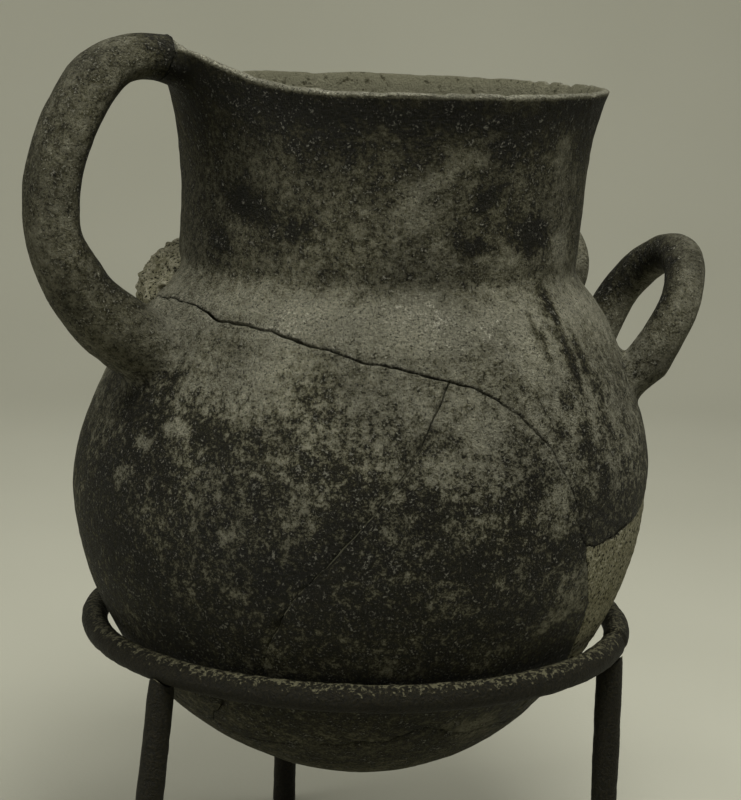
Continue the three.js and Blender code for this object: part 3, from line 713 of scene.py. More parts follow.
def roughSkin(rings, skin, seed, strength=1.0):
    # an uneven skin, pressed in more than out
    way = unit(rings - rings.mean(axis=1, keepdims=True))
    rise = skin["wave"][0] * lumps(rings, skin["wave"][1], seed)
    rise = rise + skin["dent"][0] * lumps(rings, skin["dent"][1], seed + 1)
    rise = rise + skin["grain"][0] * roughness(rings, skin["grain"][1], 2, seed + 2)
    return rings + way * ((rise - skin["sink"]) * strength)[..., None]


def bigHandleRings():
    foot = heightAt(bigHandle["footLevel"])
    top = jug["rimHeight"] + bigHandle["topRise"]
    reach = jug["rimRadius"] + bigHandle["stub"]
    bulge = jug["bellyRadius"] + bigHandle["overhang"] - reach
    knots = [polar(reach + bulge * out, bigHandle["angle"], lerp(foot, top, up))
             for out, up in bigHandleShape]
    line = smoothThrough(knots, bigHandle["step"])
    swell = eased(bigHandleSwell, np.linspace(0, bigHandle["shareShown"], len(line)))
    sizes = np.stack([bigHandle["depth"] / 2 * swell, bigHandle["width"] / 2 * swell], axis=1)
    side = polar(1.0, bigHandle["angle"] - 90, 0)
    rings, along = barRings(line, side, sizes, bigHandle["sides"])
    last = lastClear(rings, bigHandle["clearOfWall"])
    meet = line[last + np.argmax(wallPlace(line[last:])[2] > 0)]
    footRing, footWay = footOnWall(meet + np.array([0, 0, bigHandle["footLift"]]), bigHandle["footHalfUp"],
                                   bigHandle["footHalfSide"], rings[last])
    sunkRing = snapToWall(footRing + footWay * bigHandle["footSpread"], handleFoot["edgeSink"])
    blended = blendRings(rings[last], along[last], footRing, footWay, bigHandle["blendRings"],
                         bigHandle["footStart"], bigHandle["footEnd"])
    skin = roughSkin(np.concatenate([rings[:last + 1], blended[:-1]]), handSkin, 61)
    return np.concatenate([skin, footRing[None], sunkRing[None]])


def lastClear(rings, gap):
    # the last ring, from the middle of a bar towards its foot, that is still clear of the wall
    half = len(rings) // 2
    touching = np.array([wallPlace(ring)[2].max() > -gap for ring in rings[half:]])
    return half + int(np.argmax(touching)) - 1


def mouthSpace():
    # the space inside the neck, a little wider than it is, to trim the bar with
    inside = np.linspace(jug["rimHeight"] - mouth["below"], jug["rimHeight"], mouth["rows"])
    heights = np.concatenate([inside, [jug["rimHeight"] + mouth["above"]]])
    radius = radiusAt(heights) - jug["lip"] + mouth["wider"]
    angle = np.arange(mouth["columns"]) * 360 / mouth["columns"]
    return loft("mouthSpace", handBuilt(polar(radius[:, None], angle[None, :], heights[:, None])))


def roundCorner(wall, barPoints):
    # relaxes the wall where the bar meets the rim; gives back where the moved points were and are
    before = meshPoints(wall)
    depth = wallPlace(before)[2]
    near = (np.abs(depth) < corner["depth"]) & (before[:, 0] < -corner["aside"])
    near = near & (before[:, 2] > jug["rimHeight"] - corner["below"])
    distance = np.full(len(before), farAway)
    distance[near] = nearestIn(before[near], barPoints)[:, 1]
    away = distance**2 + np.maximum(np.abs(depth) - 1, 0)**2
    weights = np.where(near, np.exp(-away / corner["reach"]**2), 0)
    weights[weights < corner["least"]] = 0
    relax(wall, weights, corner["rounds"])
    moved = near & (weights > 0)
    return before[moved], meshPoints(wall)[moved]


def addBigHandle(wall):
    # joins the bar to the rim, rounds the corner, and breaks it off again where it was broken
    rings = bigHandleRings()
    upperRings = rings[:bigHandle["upperRings"]]
    combine(wall, combine(loft("upperBar", upperRings), mouthSpace(), "DIFFERENCE"), "UNION")
    before, after = roundCorner(wall, upperRings.reshape(-1, 3))
    bar = loft("bigHandle", rings)
    points = meshPoints(bar)
    found = nearestIn(points, before)
    # the bar's skin follows the wall's, so that there is no step at the break
    same = found[:, 1] < corner["same"]
    points[same] = after[found[same, 0].astype(int)]
    setPoints(bar, points)
    combine(wall, breakSheet(), "DIFFERENCE")
    combine(bar, breakSheet(), "DIFFERENCE")
    return largestPart(wall), largestPart(bar)


def breakSheet():
    # a thin uneven sheet across the bar, where it broke off the rim
    reach = jug["rimRadius"] + bigHandle["stub"]
    centre = polar(reach, bigHandle["angle"], jug["rimHeight"] + bigHandle["topRise"])
    lean = math.radians(bigHandle["breakLean"])
    up = np.array([math.sin(lean), 0, math.cos(lean)])
    side = np.array([0, 1.0, 0])
    count = bigHandle["breakRows"]
    spots = np.linspace(-bigHandle["breakReach"], bigHandle["breakReach"], count)
    flat = centre + up * spots[:, None, None] + side * spots[None, :, None]
    uneven = sum(height * lumps(flat, size, seed) for height, size, seed in bigHandle["breakWaves"])
    sheets = [flat + np.cross(side, up) * (uneven + half)[..., None]
              for half in (-bigHandle["breakGap"] / 2, bigHandle["breakGap"] / 2)]
    points = np.vstack([sheet.reshape(-1, 3) for sheet in sheets])
    row, column = np.meshgrid(np.arange(count - 1), np.arange(count - 1), indexing="ij")
    here = (row * count + column).ravel()
    low = np.stack([here, here + 1, here + count + 1, here + count], axis=-1)
    total = count * count
    numbers = np.arange(total).reshape(count, count)
    border = np.concatenate([numbers[0], numbers[1:, -1], numbers[-1, -2::-1], numbers[-2:0:-1, 0]])
    after = np.roll(border, -1)
    edge = np.stack([border, border + total, after + total, after], axis=-1)
    return newMesh("breakSheet", points, [low, low[:, ::-1] + total, edge])


# Cuts along the joins

def crackSheet(name, seed):
    # a thin sheet through the wall along a join, as wide as the crack there
    path = joinPaths[name]
    wall = onWall(path[:, 0], path[:, 1])
    outward = unit(wall - heart)
    along = unit(np.gradient(wall, axis=0))
    across = unit(np.cross(outward, along))
    width = eased(crackWidths.get(name, cut["width"]), np.linspace(0, 1, len(wall)))
    uneven = 1
    for share, size, more in cut["widthWaves"]:
        uneven = uneven + share * lumps(wall, size, seed + more)
    width = width * uneven
    ends = np.zeros(len(wall))
    ends[0], ends[-1] = -1, 1
    wall = wall + along * (ends * cut["overrun"])[:, None]
    low = wall - outward * cut["deep"]
    high = wall + outward * cut["high"]
    half = across * (width / 2)[:, None]
    rings = np.stack([low - half, high - half, high + half, low + half], axis=1)
    return loft("crack", rings)


def cutJoins(wall):
    sheets = [crackSheet(name, 80 + i) for i, name in enumerate(joins)]
    whole = sheets[0]
    for sheet in sheets[1:]:
        combine(whole, sheet, "UNION")
    combine(wall, whole, "DIFFERENCE")
    return looseParts(wall)


sherdNames = {
    "neck_and_shoulder": "neckAndShoulder", "sherd_front_left": "frontLeftSherd",
    "sherd_front_right": "frontRightSherd", "sherd_back_left": "backLeftSherd",
    "sherd_back_right": "backRightSherd", "sherd_base": "baseSherd", "sherd_base_chip": "baseChip",
    "fill_patch": "plasterPatch",
}


def nodeFor(part):
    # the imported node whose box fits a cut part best
    flat = meshPoints(part) * mm + middle
    low, high = flat.min(axis=0), flat.max(axis=0)
    misfit = {}
    for node in sherdNames:
        nodeLow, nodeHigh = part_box(node)
        misfit[node] = np.abs(low - np.array(nodeLow)).sum() + np.abs(high - np.array(nodeHigh)).sum()
    best = min(misfit, key=misfit.get)
    return best, misfit[best] / mm


# Small loop handles

loops = {
    "loop_handle_front": {"name": "frontLoopHandle", "angle": -19, "tilt": 61, "length": 70, "width": 98,
                          "rootWidth": 84, "rootLevel": 54.9, "seed": 101},
    "loop_handle_back": {"name": "backLoopHandle", "angle": 29, "tilt": 48, "length": 82, "width": 88,
                         "rootWidth": 78, "rootLevel": 56.9, "seed": 111},
}
loopBar = {
    "diameter": 23.5, "sides": 64, "step": 1.6, "clearOfWall": 4, "blendRings": 22, "armMiddle": 0.55,
    "crestTurns": [-70, -45, -22, 0, 22, 45, 70],      # where the crest's bend has its knots, in degrees
    "footHalf": 19, "footStart": 14, "footEnd": 20, "footSpread": 1.2, "skinStrength": 0.9,
    "slip": 0.36, "lime": 0.15,
}
loopSwell = [
    [0, 1.1], [0.15, 1], [0.28, 0.96], [0.35, 0.97], [0.65, 0.96], [0.75, 0.96], [0.88, 1.02], [1, 1.12],
]


def loopLine(sizes):
    # the middle line of a loop, which stands out of the wall at a tilt, and the way across it
    angle, tilt = sizes["angle"], math.radians(sizes["tilt"])
    out = polar(math.cos(tilt), angle, math.sin(tilt))
    along = polar(1.0, angle + 90, 0)
    rootHeight = heightAt(sizes["rootLevel"])
    root = polar(radiusAt(rootHeight), angle, rootHeight) + wanderAt(sizes["rootLevel"])
    crest, foot = sizes["width"] / 2, sizes["rootWidth"] / 2
    arm = sizes["length"] - crest
    arms = [[foot, 0], [(foot + crest) / 2, arm * loopBar["armMiddle"]]]
    knots = [root - along * side + out * reach for side, reach in arms]
    for turn in np.radians(loopBar["crestTurns"]):
        knots.append(root + along * crest * math.sin(turn) + out * (arm + crest * math.cos(turn)))
    knots += [root + along * side + out * reach for side, reach in arms[::-1]]
    return smoothThrough(knots, loopBar["step"]), unit(np.cross(along, out))


def loopRings(sizes):
    line, across = loopLine(sizes)
    half = loopBar["diameter"] / 2 * eased(loopSwell, np.linspace(0, 1, len(line)))
    rings, ways = barRings(line, across, np.stack([half, half], axis=1), loopBar["sides"])
    last = lastClear(rings, loopBar["clearOfWall"])
    first = len(rings) - 1 - lastClear(rings[::-1], loopBar["clearOfWall"])
    blends, feet = [], []
    for spot, ring, sense in ((0, first, -1), (-1, last, 1)):
        footRing, footWay = footOnWall(line[spot], loopBar["footHalf"], loopBar["footHalf"], rings[ring])
        blended = blendRings(rings[ring], ways[ring] * sense, footRing, footWay, loopBar["blendRings"],
                             loopBar["footStart"], loopBar["footEnd"])
        sunkRing = snapToWall(footRing + footWay * loopBar["footSpread"], handleFoot["edgeSink"])
        blends.append(blended[:-1])
        feet.append(np.stack([footRing, sunkRing]))
    skin = np.concatenate([blends[0][::-1], rings[first:last + 1], blends[1]])
    skin = roughSkin(skin, handSkin, sizes["seed"], loopBar["skinStrength"])
    return np.concatenate([feet[0][::-1], skin, feet[1]])


# Old plaster left in the corner at the foot of the neck

mend = {
    "angle": 150, "inset": 11.5, "drop": 16, "depth": 37, "rise": 29, "spread": 40, "shrink": 2.2,
    "rows": 90, "columns": 150, "sink": 1.2,
    # share of its size, and size as a share of it
    "swell": (0.12, 0.6), "crease": (0.2, 0.3), "lump": (0.035, 0.12), "grit": (0.012, 0.05),
}


def makeMend():
    # a rough ball, pressed against the wall where it would reach into it
    lift = np.linspace(-math.pi / 2, math.pi / 2, mend["rows"] + 2)[1:-1]
    turn = np.linspace(0, 2 * math.pi, mend["columns"], endpoint=False)
    ball = np.stack(np.broadcast_arrays(np.cos(lift)[:, None] * np.cos(turn)[None, :],
                                        np.cos(lift)[:, None] * np.sin(turn)[None, :],
                                        np.sin(lift)[:, None]), axis=-1)
    sizes = np.array([mend["depth"], mend["spread"], mend["rise"]]) - mend["shrink"]
    share, size = mend["swell"]
    rough = 1 + share * lumps(ball, size, 131)
    share, size = mend["crease"]
    rough = rough - share * np.abs(lumps(ball, size, 132))
    for seed, name in ((133, "lump"), (134, "grit")):
        share, size = mend[name]
        rough = rough + share * lumps(ball, size, seed)
    height = jug["neckFoot"] - mend["drop"]
    centre = polar(jug["neckRadius"] - mend["inset"], mend["angle"], height) + wanderAt(levelAt(height))
    points = turned(ball * sizes * rough[..., None], mend["angle"]) + centre
    angle, level, depth = wallPlace(points)
    sunk = onWall(angle, level, mend["sink"])
    points = np.where((depth > mend["sink"])[..., None], sunk, points)
    return loft("shoulderMend", points)


# Stand: a rod bent to a ring with its ends meeting, on three legs

stand = {
    "oval": 2.4, "angle": -32, "jointAngle": -46, "rod": 15, "jointGap": 1.0, "seatGap": 0.35,
    "ringSides": 44, "ringSteps": 860, "endRounding": 2.8, "endReach": 3.0,
    "legDiameter": 15, "legTop": 14.4, "legTaper": 16, "legNeck": 9.2, "legSides": 40,
    "legTopShare": 0.2, "legTopRounding": 1.2, "legBrow": 1.6, "legBrowRounding": 0.3,
    "legFootRise": 1.2, "legFootRounding": 0.9, "legFootRow": 0.4,
    "legTopStart": 1.5, "legTopEnd": 18, "legTopRows": 14, "legRows": 76,
}
legs = {"leg_left": {"name": "leftLeg", "angle": -164.2, "splay": 7, "seed": 151},
        "leg_right": {"name": "rightLeg", "angle": -50, "splay": 0.5, "seed": 154},
        "leg_back": {"name": "backLeg", "angle": 74, "splay": 3, "seed": 157}}


def seatRadius():
    # radius at which the rod's middle clears the bowl that rests on it
    reach = stand["rod"] / 2 + stand["seatGap"]
    near = np.abs(outline[:, 1]) < reach
    return (outline[near, 0] + np.sqrt(reach**2 - outline[near, 1]**2)).max()


ringShort = seatRadius()
ringLong = ringShort + stand["oval"]


def ringAt(around):
    flat = np.stack([ringLong * np.cos(around), ringShort * np.sin(around), 0 * around], axis=-1)
    return turned(flat, stand["angle"])


def makeRing():
    opening = stand["jointGap"] / ringLong
    around = np.linspace(opening / 2, 2 * math.pi - opening / 2, stand["ringSteps"])
    line = ringAt(around + math.radians(stand["jointAngle"] - stand["angle"]))
    turn = np.linspace(0, 2 * math.pi, stand["ringSides"], endpoint=False)
    steps = np.arange(len(line))
    fromEnd = np.minimum(steps, steps[::-1]) * (around[1] - around[0]) * ringLong
    radius = stand["rod"] / 2 - stand["endRounding"] * np.exp(-(fromEnd / stand["endReach"])**2)
    rings = line[:, None, :] + unit(line)[:, None, :] * (radius[:, None] * np.cos(turn))[..., None]
    rings[..., 2] += radius[:, None] * np.sin(turn)
    return loft("standRing", roughSkin(rings, forgedSkin, 141))


def legSection(reach):
    # heights of a leg's rings, from its top down, and their radii
    top, full = stand["legTop"] / 2, stand["legDiameter"] / 2
    stations = [[floorHeight, full - stand["legFootRounding"]], [floorHeight + stand["legFootRise"], full],
                [-stand["legTaper"], full], [-stand["legNeck"], top],
                [-stand["legBrow"], top - stand["legBrowRounding"]],
                [-reach * stand["legTopShare"], top - stand["legTopRounding"]]]
    heights = np.concatenate([
        np.linspace(-stand["legTopStart"], -stand["legTopEnd"], stand["legTopRows"]),
        np.linspace(-stand["legTopEnd"], floorHeight + stand["legFootRise"], stand["legRows"])[1:],
        [floorHeight + stand["legFootRow"], floorHeight]])
    return heights, np.interp(heights, *np.array(stations).T)


def makeLeg(node):
    sizes = legs[node]
    top = ringAt(np.radians(np.array(sizes["angle"] - stand["angle"], float)))
    reach = stand["rod"] / 2 + stand["seatGap"]
    heights, radius = legSection(reach)
    outward = polar(1.0, sizes["angle"], 0)
    line = top + outward * (-heights * math.tan(math.radians(sizes["splay"])))[:, None]
    line[:, 2] = heights
    turn = np.linspace(0, 2 * math.pi, stand["legSides"], endpoint=False)
    rings = line[:, None, :] + polar(1.0, np.degrees(turn), 0)[None] * radius[:, None, None]
    rough = roughSkin(rings, forgedSkin, sizes["seed"])
    rough[..., 2] = rings[..., 2]
    # the leg's top is hollowed to the rod that it is welded under
    flat = unit(top * np.array([1, 1, 0]))
    across = ((rough - top) * flat).sum(axis=-1)
    under = -np.sqrt(np.maximum(reach**2 - across**2, 0))
    rough[..., 2] = np.minimum(rough[..., 2], np.where(np.abs(across) < reach, under, 0))
    return loft(sizes["name"], rough)


# Materials

def linear(hexColour):
    parts = [int(hexColour[i:i + 2], 16) / 255 for i in (1, 3, 5)]
    return tuple(p / 12.92 if p <= 0.04045 else ((p + 0.055) / 1.055)**2.4 for p in parts) + (1.0,)


def addNode(material, kind, inputs=None, output=0, stops=(), **settings):
    # a node with its settings, its inputs set or joined, and a ramp's stops; gives back one output
    node = material.node_tree.nodes.new("ShaderNode" + kind)
    for name, setting in settings.items():
        setattr(node, name, setting)
    for socket, value in (inputs or {}).items():
        if isinstance(value, bpy.types.NodeSocket):
            material.node_tree.links.new(value, node.inputs[socket])
        else:
            node.inputs[socket].default_value = value
    for i, (spot, colour) in enumerate(stops):
        stop = node.color_ramp.elements[i] if i < 2 else node.color_ramp.elements.new(spot)
        stop.position = spot
        stop.color = linear(colour)
    return node.outputs[output]


def newMaterial(name, patterns):
    # a material with its shader, and a noise for each pattern: size in mm, detail and roughness
    material = bpy.data.materials.new(name)
    material.use_nodes = True
    shader = material.node_tree.nodes["Principled BSDF"]
    place = addNode(material, "TexCoord", output="Object")
    noises = {}
    for pattern, (sizeMm, detail, rough) in patterns.items():
        inputs = {"Vector": place, "Scale": 1000 / sizeMm, "Detail": detail, "Roughness": rough}
        noises[pattern] = addNode(material, "TexNoise", inputs, "Fac")
    return material, shader, noises


def connect(material, shader, colour, rough, noises, look):
    # joins colour, roughness and the summed heights of the fine relief to the shader
    height = 0.0
    for name, share in look["heights"].items():
        height = addNode(material, "Math", {0: noises[name], 1: share, 2: height}, operation="MULTIPLY_ADD")
    bump = addNode(material, "Bump", {"Height": height, "Strength": 1.0, "Distance": look["bumpMm"] * mm})
    for socket, value in (("Base Color", colour), ("Roughness", rough), ("Normal", bump)):
        if isinstance(value, bpy.types.NodeSocket):
            material.node_tree.links.new(value, shader.inputs[socket])
        else:
            shader.inputs[socket].default_value = value


# Burnished slip over low-fired clay, buried for long: where the slip is left it is dark and a
# little glossy, and where it has worn or flaked off, the paler matt clay shows, dusted with lime
wornSlip = {
    "slip": "#17160b", "thinSlip": "#33311f", "clay": "#595746", "clayPale": "#7a7866", "lime": "#a3a18f",
    "inside": "#666450", "dirt": "#0a0904",
    "patterns": {"cloud": (30, 4, 0.55), "ragged": (5, 8, 0.72), "grain": (1.5, 5, 0.7),
                 "speck": (1.3, 2, 0.6), "pebble": (4.6, 4, 0.6), "stain": (55, 3, 0.5)},
    "shares": {"cloud": 0.9, "ragged": 2.7, "grain": 1.9},      # how much each pattern breaks the slip up
    "cover": {"clayPale": 0.1, "clay": 0.36, "thinSlip": 0.52, "slip": 0.62},
    "film": {"thinSlip": 0.32, "inside": 0.42}, "dust": {"grain": 2.2, "pebble": 1.6}, "fleck": 1.3,
    # a pattern's low and high end, and what they turn into
    "stained": {1: 0.38, 2: 0.62, 3: 0.76, 4: 1.16}, "dusty": {1: 2.3, 2: 2.9, 3: 0.0, 4: 0.7},
    "specks": {1: 1.3, 2: 1.42, 3: 0.0, 4: 0.36}, "pits": {1: 0.43, 2: 0.33, 3: 0.0, 4: 0.75},
    "mottle": {1: 0.3, 2: 0.7, 3: 0.45, 4: 1.55}, "rough": {1: 0.3, 2: 0.7, 3: 0.86, 4: 0.55},
    "gloss": 0.12, "heights": {"grain": 1.1, "speck": 0.5, "pebble": 1.0, "ragged": 1.2}, "bumpMm": 2.6,
}


def rampStops(look, name):
    return [(spot, look[colour]) for colour, spot in look[name].items()]


def slipLeft(material, noises, layers):
    # how much slip is left: the listed areas, broken up by clouds, ragged flakes and grain
    uneven = -sum(wornSlip["shares"].values()) / 2
    for name, share in wornSlip["shares"].items():
        uneven = addNode(material, "Math", {0: noises[name], 1: share, 2: uneven}, operation="MULTIPLY_ADD")
    inputs = {0: uneven, 1: layers["broken"], 2: layers["slip"]}
    return addNode(material, "Math", inputs, operation="MULTIPLY_ADD")


def limeOver(material, colour, noises, layers):
    # lime from the ground, in a thin dust and in specks
    look = wornSlip
    dust = layers["lime"]
    for name, share in look["dust"].items():
        dust = addNode(material, "Math", {0: noises[name], 1: share, 2: dust}, operation="MULTIPLY_ADD")
    dusty = addNode(material, "MapRange", {0: dust, **look["dusty"]}, interpolation_type="SMOOTHSTEP")
    colour = addNode(material, "Mix", {0: dusty, 6: colour, 7: linear(look["lime"])}, 2, data_type="RGBA")
    inputs = {0: noises["ragged"], 1: look["fleck"], 2: noises["speck"]}
    flecks = addNode(material, "Math", inputs, operation="MULTIPLY_ADD")
    specks = addNode(material, "MapRange", {0: flecks, **look["specks"]})
    return addNode(material, "Mix", {0: specks, 6: colour, 7: linear(look["lime"])}, 2, data_type="RGBA")


def pitsOver(material, colour, noises):
    # dark pits, and grains that are paler and darker than others
    look = wornSlip
    pits = addNode(material, "MapRange", {0: noises["speck"], **look["pits"]})
    colour = addNode(material, "Mix", {0: pits, 6: colour, 7: linear(look["dirt"])}, 2, data_type="RGBA")
    mottle = addNode(material, "MapRange", {0: noises["grain"], **look["mottle"]})
    inputs = {0: 1.0, 6: colour, 7: mottle}
    return addNode(material, "Mix", inputs, 2, data_type="RGBA", blend_type="MULTIPLY")


def makeWornSlip():
    look = wornSlip
    material, shader, noises = newMaterial("wornBurnishedSlip", look["patterns"])
    layers = {}
    for name in ("slip", "broken", "lime", "dirt", "inside"):
        settings = {"attribute_name": name, "attribute_type": "GEOMETRY"}
        layers[name] = addNode(material, "Attribute", {}, "Fac", **settings)
    cover = slipLeft(material, noises, layers)
    colour = addNode(material, "ValToRGB", {"Fac": cover}, "Color", rampStops(look, "cover"))
    stained = addNode(material, "MapRange", {0: noises["stain"], **look["stained"]})
    inputs = {0: 1.0, 6: colour, 7: stained}
    colour = addNode(material, "Mix", inputs, 2, data_type="RGBA", blend_type="MULTIPLY")
    colour = limeOver(material, colour, noises, layers)
    colour = pitsOver(material, colour, noises)
    # inside, smoke and water have left an even olive film with dark spots
    film = addNode(material, "ValToRGB", {"Fac": noises["pebble"]}, "Color", rampStops(look, "film"))
    colour = addNode(material, "Mix", {0: layers["inside"], 6: colour, 7: film}, 2, data_type="RGBA")
    # dirt along the cracks, and painted shade deep in the cracks and where the handles' feet meet the wall
    inputs = {0: layers["dirt"], 6: colour, 7: linear(look["dirt"])}
    colour = addNode(material, "Mix", inputs, 2, data_type="RGBA")
    rough = addNode(material, "MapRange", {0: cover, **look["rough"]})
    shader.inputs["IOR"].default_value = 1.5      # fired clay
    shader.inputs["Specular IOR Level"].default_value = look["gloss"]      # dust has dulled the polish
    connect(material, shader, colour, rough, noises, look)
    return material


# Gritty mending plaster, dirtied, with painted shade deep in its cracks: matt, pale, full of dark grains
mendingPlaster = {
    "plaster": "#69664f", "pale": "#7f7c66", "chalk": "#9c9984", "grit": "#16140c", "dirt": "#0c0b07",
    "patterns": {"grit": (1.8, 4, 0.65), "coarse": (6.5, 5, 0.6)}, "paste": {"plaster": 0.4, "pale": 0.62},
    "chalky": {1: 0.56, 2: 0.62, 3: 0.0, 4: 0.7}, "grains": {1: 0.46, 2: 0.4},
    "rough": 0.92, "gloss": 0.1, "heights": {"grit": 1.0, "coarse": 1.5}, "bumpMm": 1.5,
}


def makePlaster():
    look = mendingPlaster
    material, shader, noises = newMaterial("grittyMendingPlaster", look["patterns"])
    colour = addNode(material, "ValToRGB", {"Fac": noises["coarse"]}, "Color", rampStops(look, "paste"))
    chalk = addNode(material, "MapRange", {0: noises["grit"], **look["chalky"]})
    colour = addNode(material, "Mix", {0: chalk, 6: colour, 7: linear(look["chalk"])}, 2, data_type="RGBA")
    grains = addNode(material, "MapRange", {0: noises["grit"], **look["grains"]})
    colour = addNode(material, "Mix", {0: grains, 6: colour, 7: linear(look["grit"])}, 2, data_type="RGBA")
    # dirt along the patch's cracks, and painted shade deep in them
    dirt = addNode(material, "Attribute", {}, "Fac", attribute_name="dirt", attribute_type="GEOMETRY")
    colour = addNode(material, "Mix", {0: dirt, 6: colour, 7: linear(look["dirt"])}, 2, data_type="RGBA")
    shader.inputs["IOR"].default_value = 1.5      # gypsum and sand
    shader.inputs["Specular IOR Level"].default_value = look["gloss"]
    connect(material, shader, colour, look["rough"], noises, look)
    return material


# Black iron bar: forge scale and old paint, dull, rubbed grey on top where the jug is set down, and a
# painted highlight where it faces up
blackIron = {
    "scale": "#0f0e05", "rust": "#1e1b0c", "bare": "#67644c",
    "patterns": {"scuff": (3.4, 7, 0.72), "grain": (1.5, 3, 0.6)}, "skin": {"scale": 0.4, "rust": 0.65},
    "grainShare": 0.45, "paintedHighlightShare": 0.28, "rubbedAndLitTop": {1: 0.97, 2: 1.05, 3: 0.0, 4: 0.7},
    "rough": 0.6, "gloss": 0.16, "heights": {"grain": 1.0, "scuff": 1.4}, "bumpMm": 1.3,
}


def makeIron():
    look = blackIron
    material, shader, noises = newMaterial("blackIronBar", look["patterns"])
    colour = addNode(material, "ValToRGB", {"Fac": noises["grain"]}, "Color", rampStops(look, "skin"))
    # rubbed where the scuffs are strong, and a painted highlight where the bar faces up
    normal = addNode(material, "NewGeometry", output="Normal")
    upward = addNode(material, "SeparateXYZ", {0: normal}, "Z")
    inputs = {0: noises["grain"], 1: look["grainShare"], 2: noises["scuff"]}
    rubAndTopLight = addNode(material, "Math", inputs, operation="MULTIPLY_ADD")
    rubAndTopLight = addNode(material, "Math", {0: upward, 1: look["paintedHighlightShare"], 2: rubAndTopLight}, operation="MULTIPLY_ADD")
    rubbedAndLitTop = addNode(material, "MapRange", {0: rubAndTopLight, **look["rubbedAndLitTop"]}, interpolation_type="SMOOTHSTEP")
    colour = addNode(material, "Mix", {0: rubbedAndLitTop, 6: colour, 7: linear(look["bare"])}, 2, data_type="RGBA")
    shader.inputs["Specular IOR Level"].default_value = look["gloss"]
    connect(material, shader, colour, look["rough"], noises, look)
    return material


# Where the finish is worn and where it is left

slipByLevel = [
    [-100, 0.42], [-70, 0.54], [-40, 0.62], [-20, 0.66], [8, 0.62], [20, 0.52], [35, 0.4], [50, 0.31],
    [70, 0.24], [90, 0.17], [98, 0.28], [106, 0.41], [125, 0.44], [145, 0.46], [160, 0.6], [170, 0.68],
    [178, 0.62],
]
brokenByLevel = [      # how much the slip that is left is broken up
    [-100, 0.5], [-55, 0.55], [-32, 0.75], [-12, 1.1], [20, 1.15], [50, 0.95], [75, 0.65], [95, 0.55],
    [110, 0.55], [150, 0.5], [175, 0.35],
]
# angle and level of the middle, half length and half width in mm, turn in degrees, more slip, more lime
finishAreas = [
    # slip left on the left of the belly, and flakes off it
    [188, 42, 26, 14, 0, 0.28, 0], [182, 12, 34, 28, 90, 0.22, 0], [201, 50, 11, 8, 30, 0.3, 0],
    [180, 62, 20, 8, 20, 0.3, 0], [192, 57, 10, 6, 60, 0.3, 0],
    [190, 33, 7, 5, 0, -0.6, 0.1], [187, 19, 8, 6, 0, -0.5, 0.1], [198, 41, 7, 5, 0, -0.5, 0.1],
    [214, 3, 6, 4, 0, -0.5, 0.2], [216, -18, 5, 4, 0, -0.5, 0.2],
    # runs of slip on the right shoulder
    [288, 90, 11, 5, 80, 0.5, 0], [288, 66, 14, 6, 95, 0.5, 0], [287, 36, 15, 6, 85, 0.4, 0],
    [295, 53, 15, 5, 90, 0.4, 0], [270, 81, 8, 4, 120, 0.35, 0], [283, 55, 9, 4, 110, 0.35, 0],
    # slip left on the neck, and places scraped off it
    [197, 131, 17, 9, -20, 0.3, 0], [215, 121, 9, 7, 0, 0.25, 0], [284, 120, 14, 10, 0, 0.32, 0],
    [267, 136, 9, 5, 30, 0.25, 0], [263, 118, 10, 5, 0, 0.25, 0],
    [251, 145, 24, 3.5, 36, -0.22, 0.15], [247, 131, 15, 9, 0, -0.16, 0], [273, 113, 12, 8, 0, -0.14, 0],
    # limy places along the shoulder, and bare clay below them
    [217, 84, 15, 8, 10, -0.12, 0.25], [247, 92, 24, 8, 0, -0.1, 0.3], [268, 82, 15, 9, -30, -0.12, 0.25],
    [228, 57, 24, 13, 70, 0.08, 0.1], [262, 40, 17, 10, 90, -0.24, 0], [276, 9, 14, 8, 0, -0.34, 0],
    [289, -17, 12, 12, 90, -0.45, 0], [294, 20, 14, 7, 90, -0.3, 0], [210, 64, 26, 14, 60, -0.1, 0],
    [216, 31, 15, 10, 0, -0.14, 0], [232, -8, 24, 18, 0, 0.12, 0], [250, 18, 14, 9, 0, 0.18, 0],
    [256, -6, 20, 10, 0, 0.15, 0], [250, 4, 42, 24, 0, 0.06, 0], [186, 187, 36, 10, 0, -0.5, 0.35],
    # darker and paler clouds over the belly
    [206, 38, 17, 12, 0, 0.32, 0], [215, 34, 14, 10, 0, 0.28, 0], [198, 24, 18, 13, 0, 0.2, 0],
    [230, 31, 15, 9, 0, 0.26, 0], [238, 27, 13, 8, 0, 0.2, 0], [252, 44, 9, 6, 0, 0.22, 0],
    [254, 27, 19, 10, 20, -0.3, 0.1], [277, 25, 16, 12, 90, -0.28, 0], [281, -23, 24, 10, 60, -0.28, 0],
    [258, 85, 20, 10, 0, -0.1, 0.25], [274, 68, 16, 9, -40, -0.14, 0.25], [281, 57, 12, 7, 60, -0.16, 0.2],
    [260, 156, 15, 8, 0, -0.16, 0], [293, 156, 16, 10, 90, -0.22, 0.05], [299, 114, 12, 9, 90, -0.3, 0.1],
    [189, 113, 11, 9, 0, 0.2, 0], [168, 56, 12, 16, 0, 0.2, 0], [236, 59, 14, 8, 0, -0.12, 0.1],
    [276, -68, 16, 8, 0, -0.3, 0.1], [240, 84, 46, 10, -8, -0.08, 0.12], [212, 92, 22, 8, 0, -0.08, 0.12],
    # more runs on the right shoulder
    [293, 70, 9, 4, 90, 0.4, 0], [281, 80, 10, 3.5, 110, 0.35, 0], [279, 44, 9, 4, 100, 0.35, 0],
    [291, 24, 10, 4, 90, 0.35, 0], [283, 18, 7, 4, 80, 0.3, 0],
]
areaEdge = {"stray": 3.4, "size": 13, "seeds": (171, 175), "steepness": 1.6}


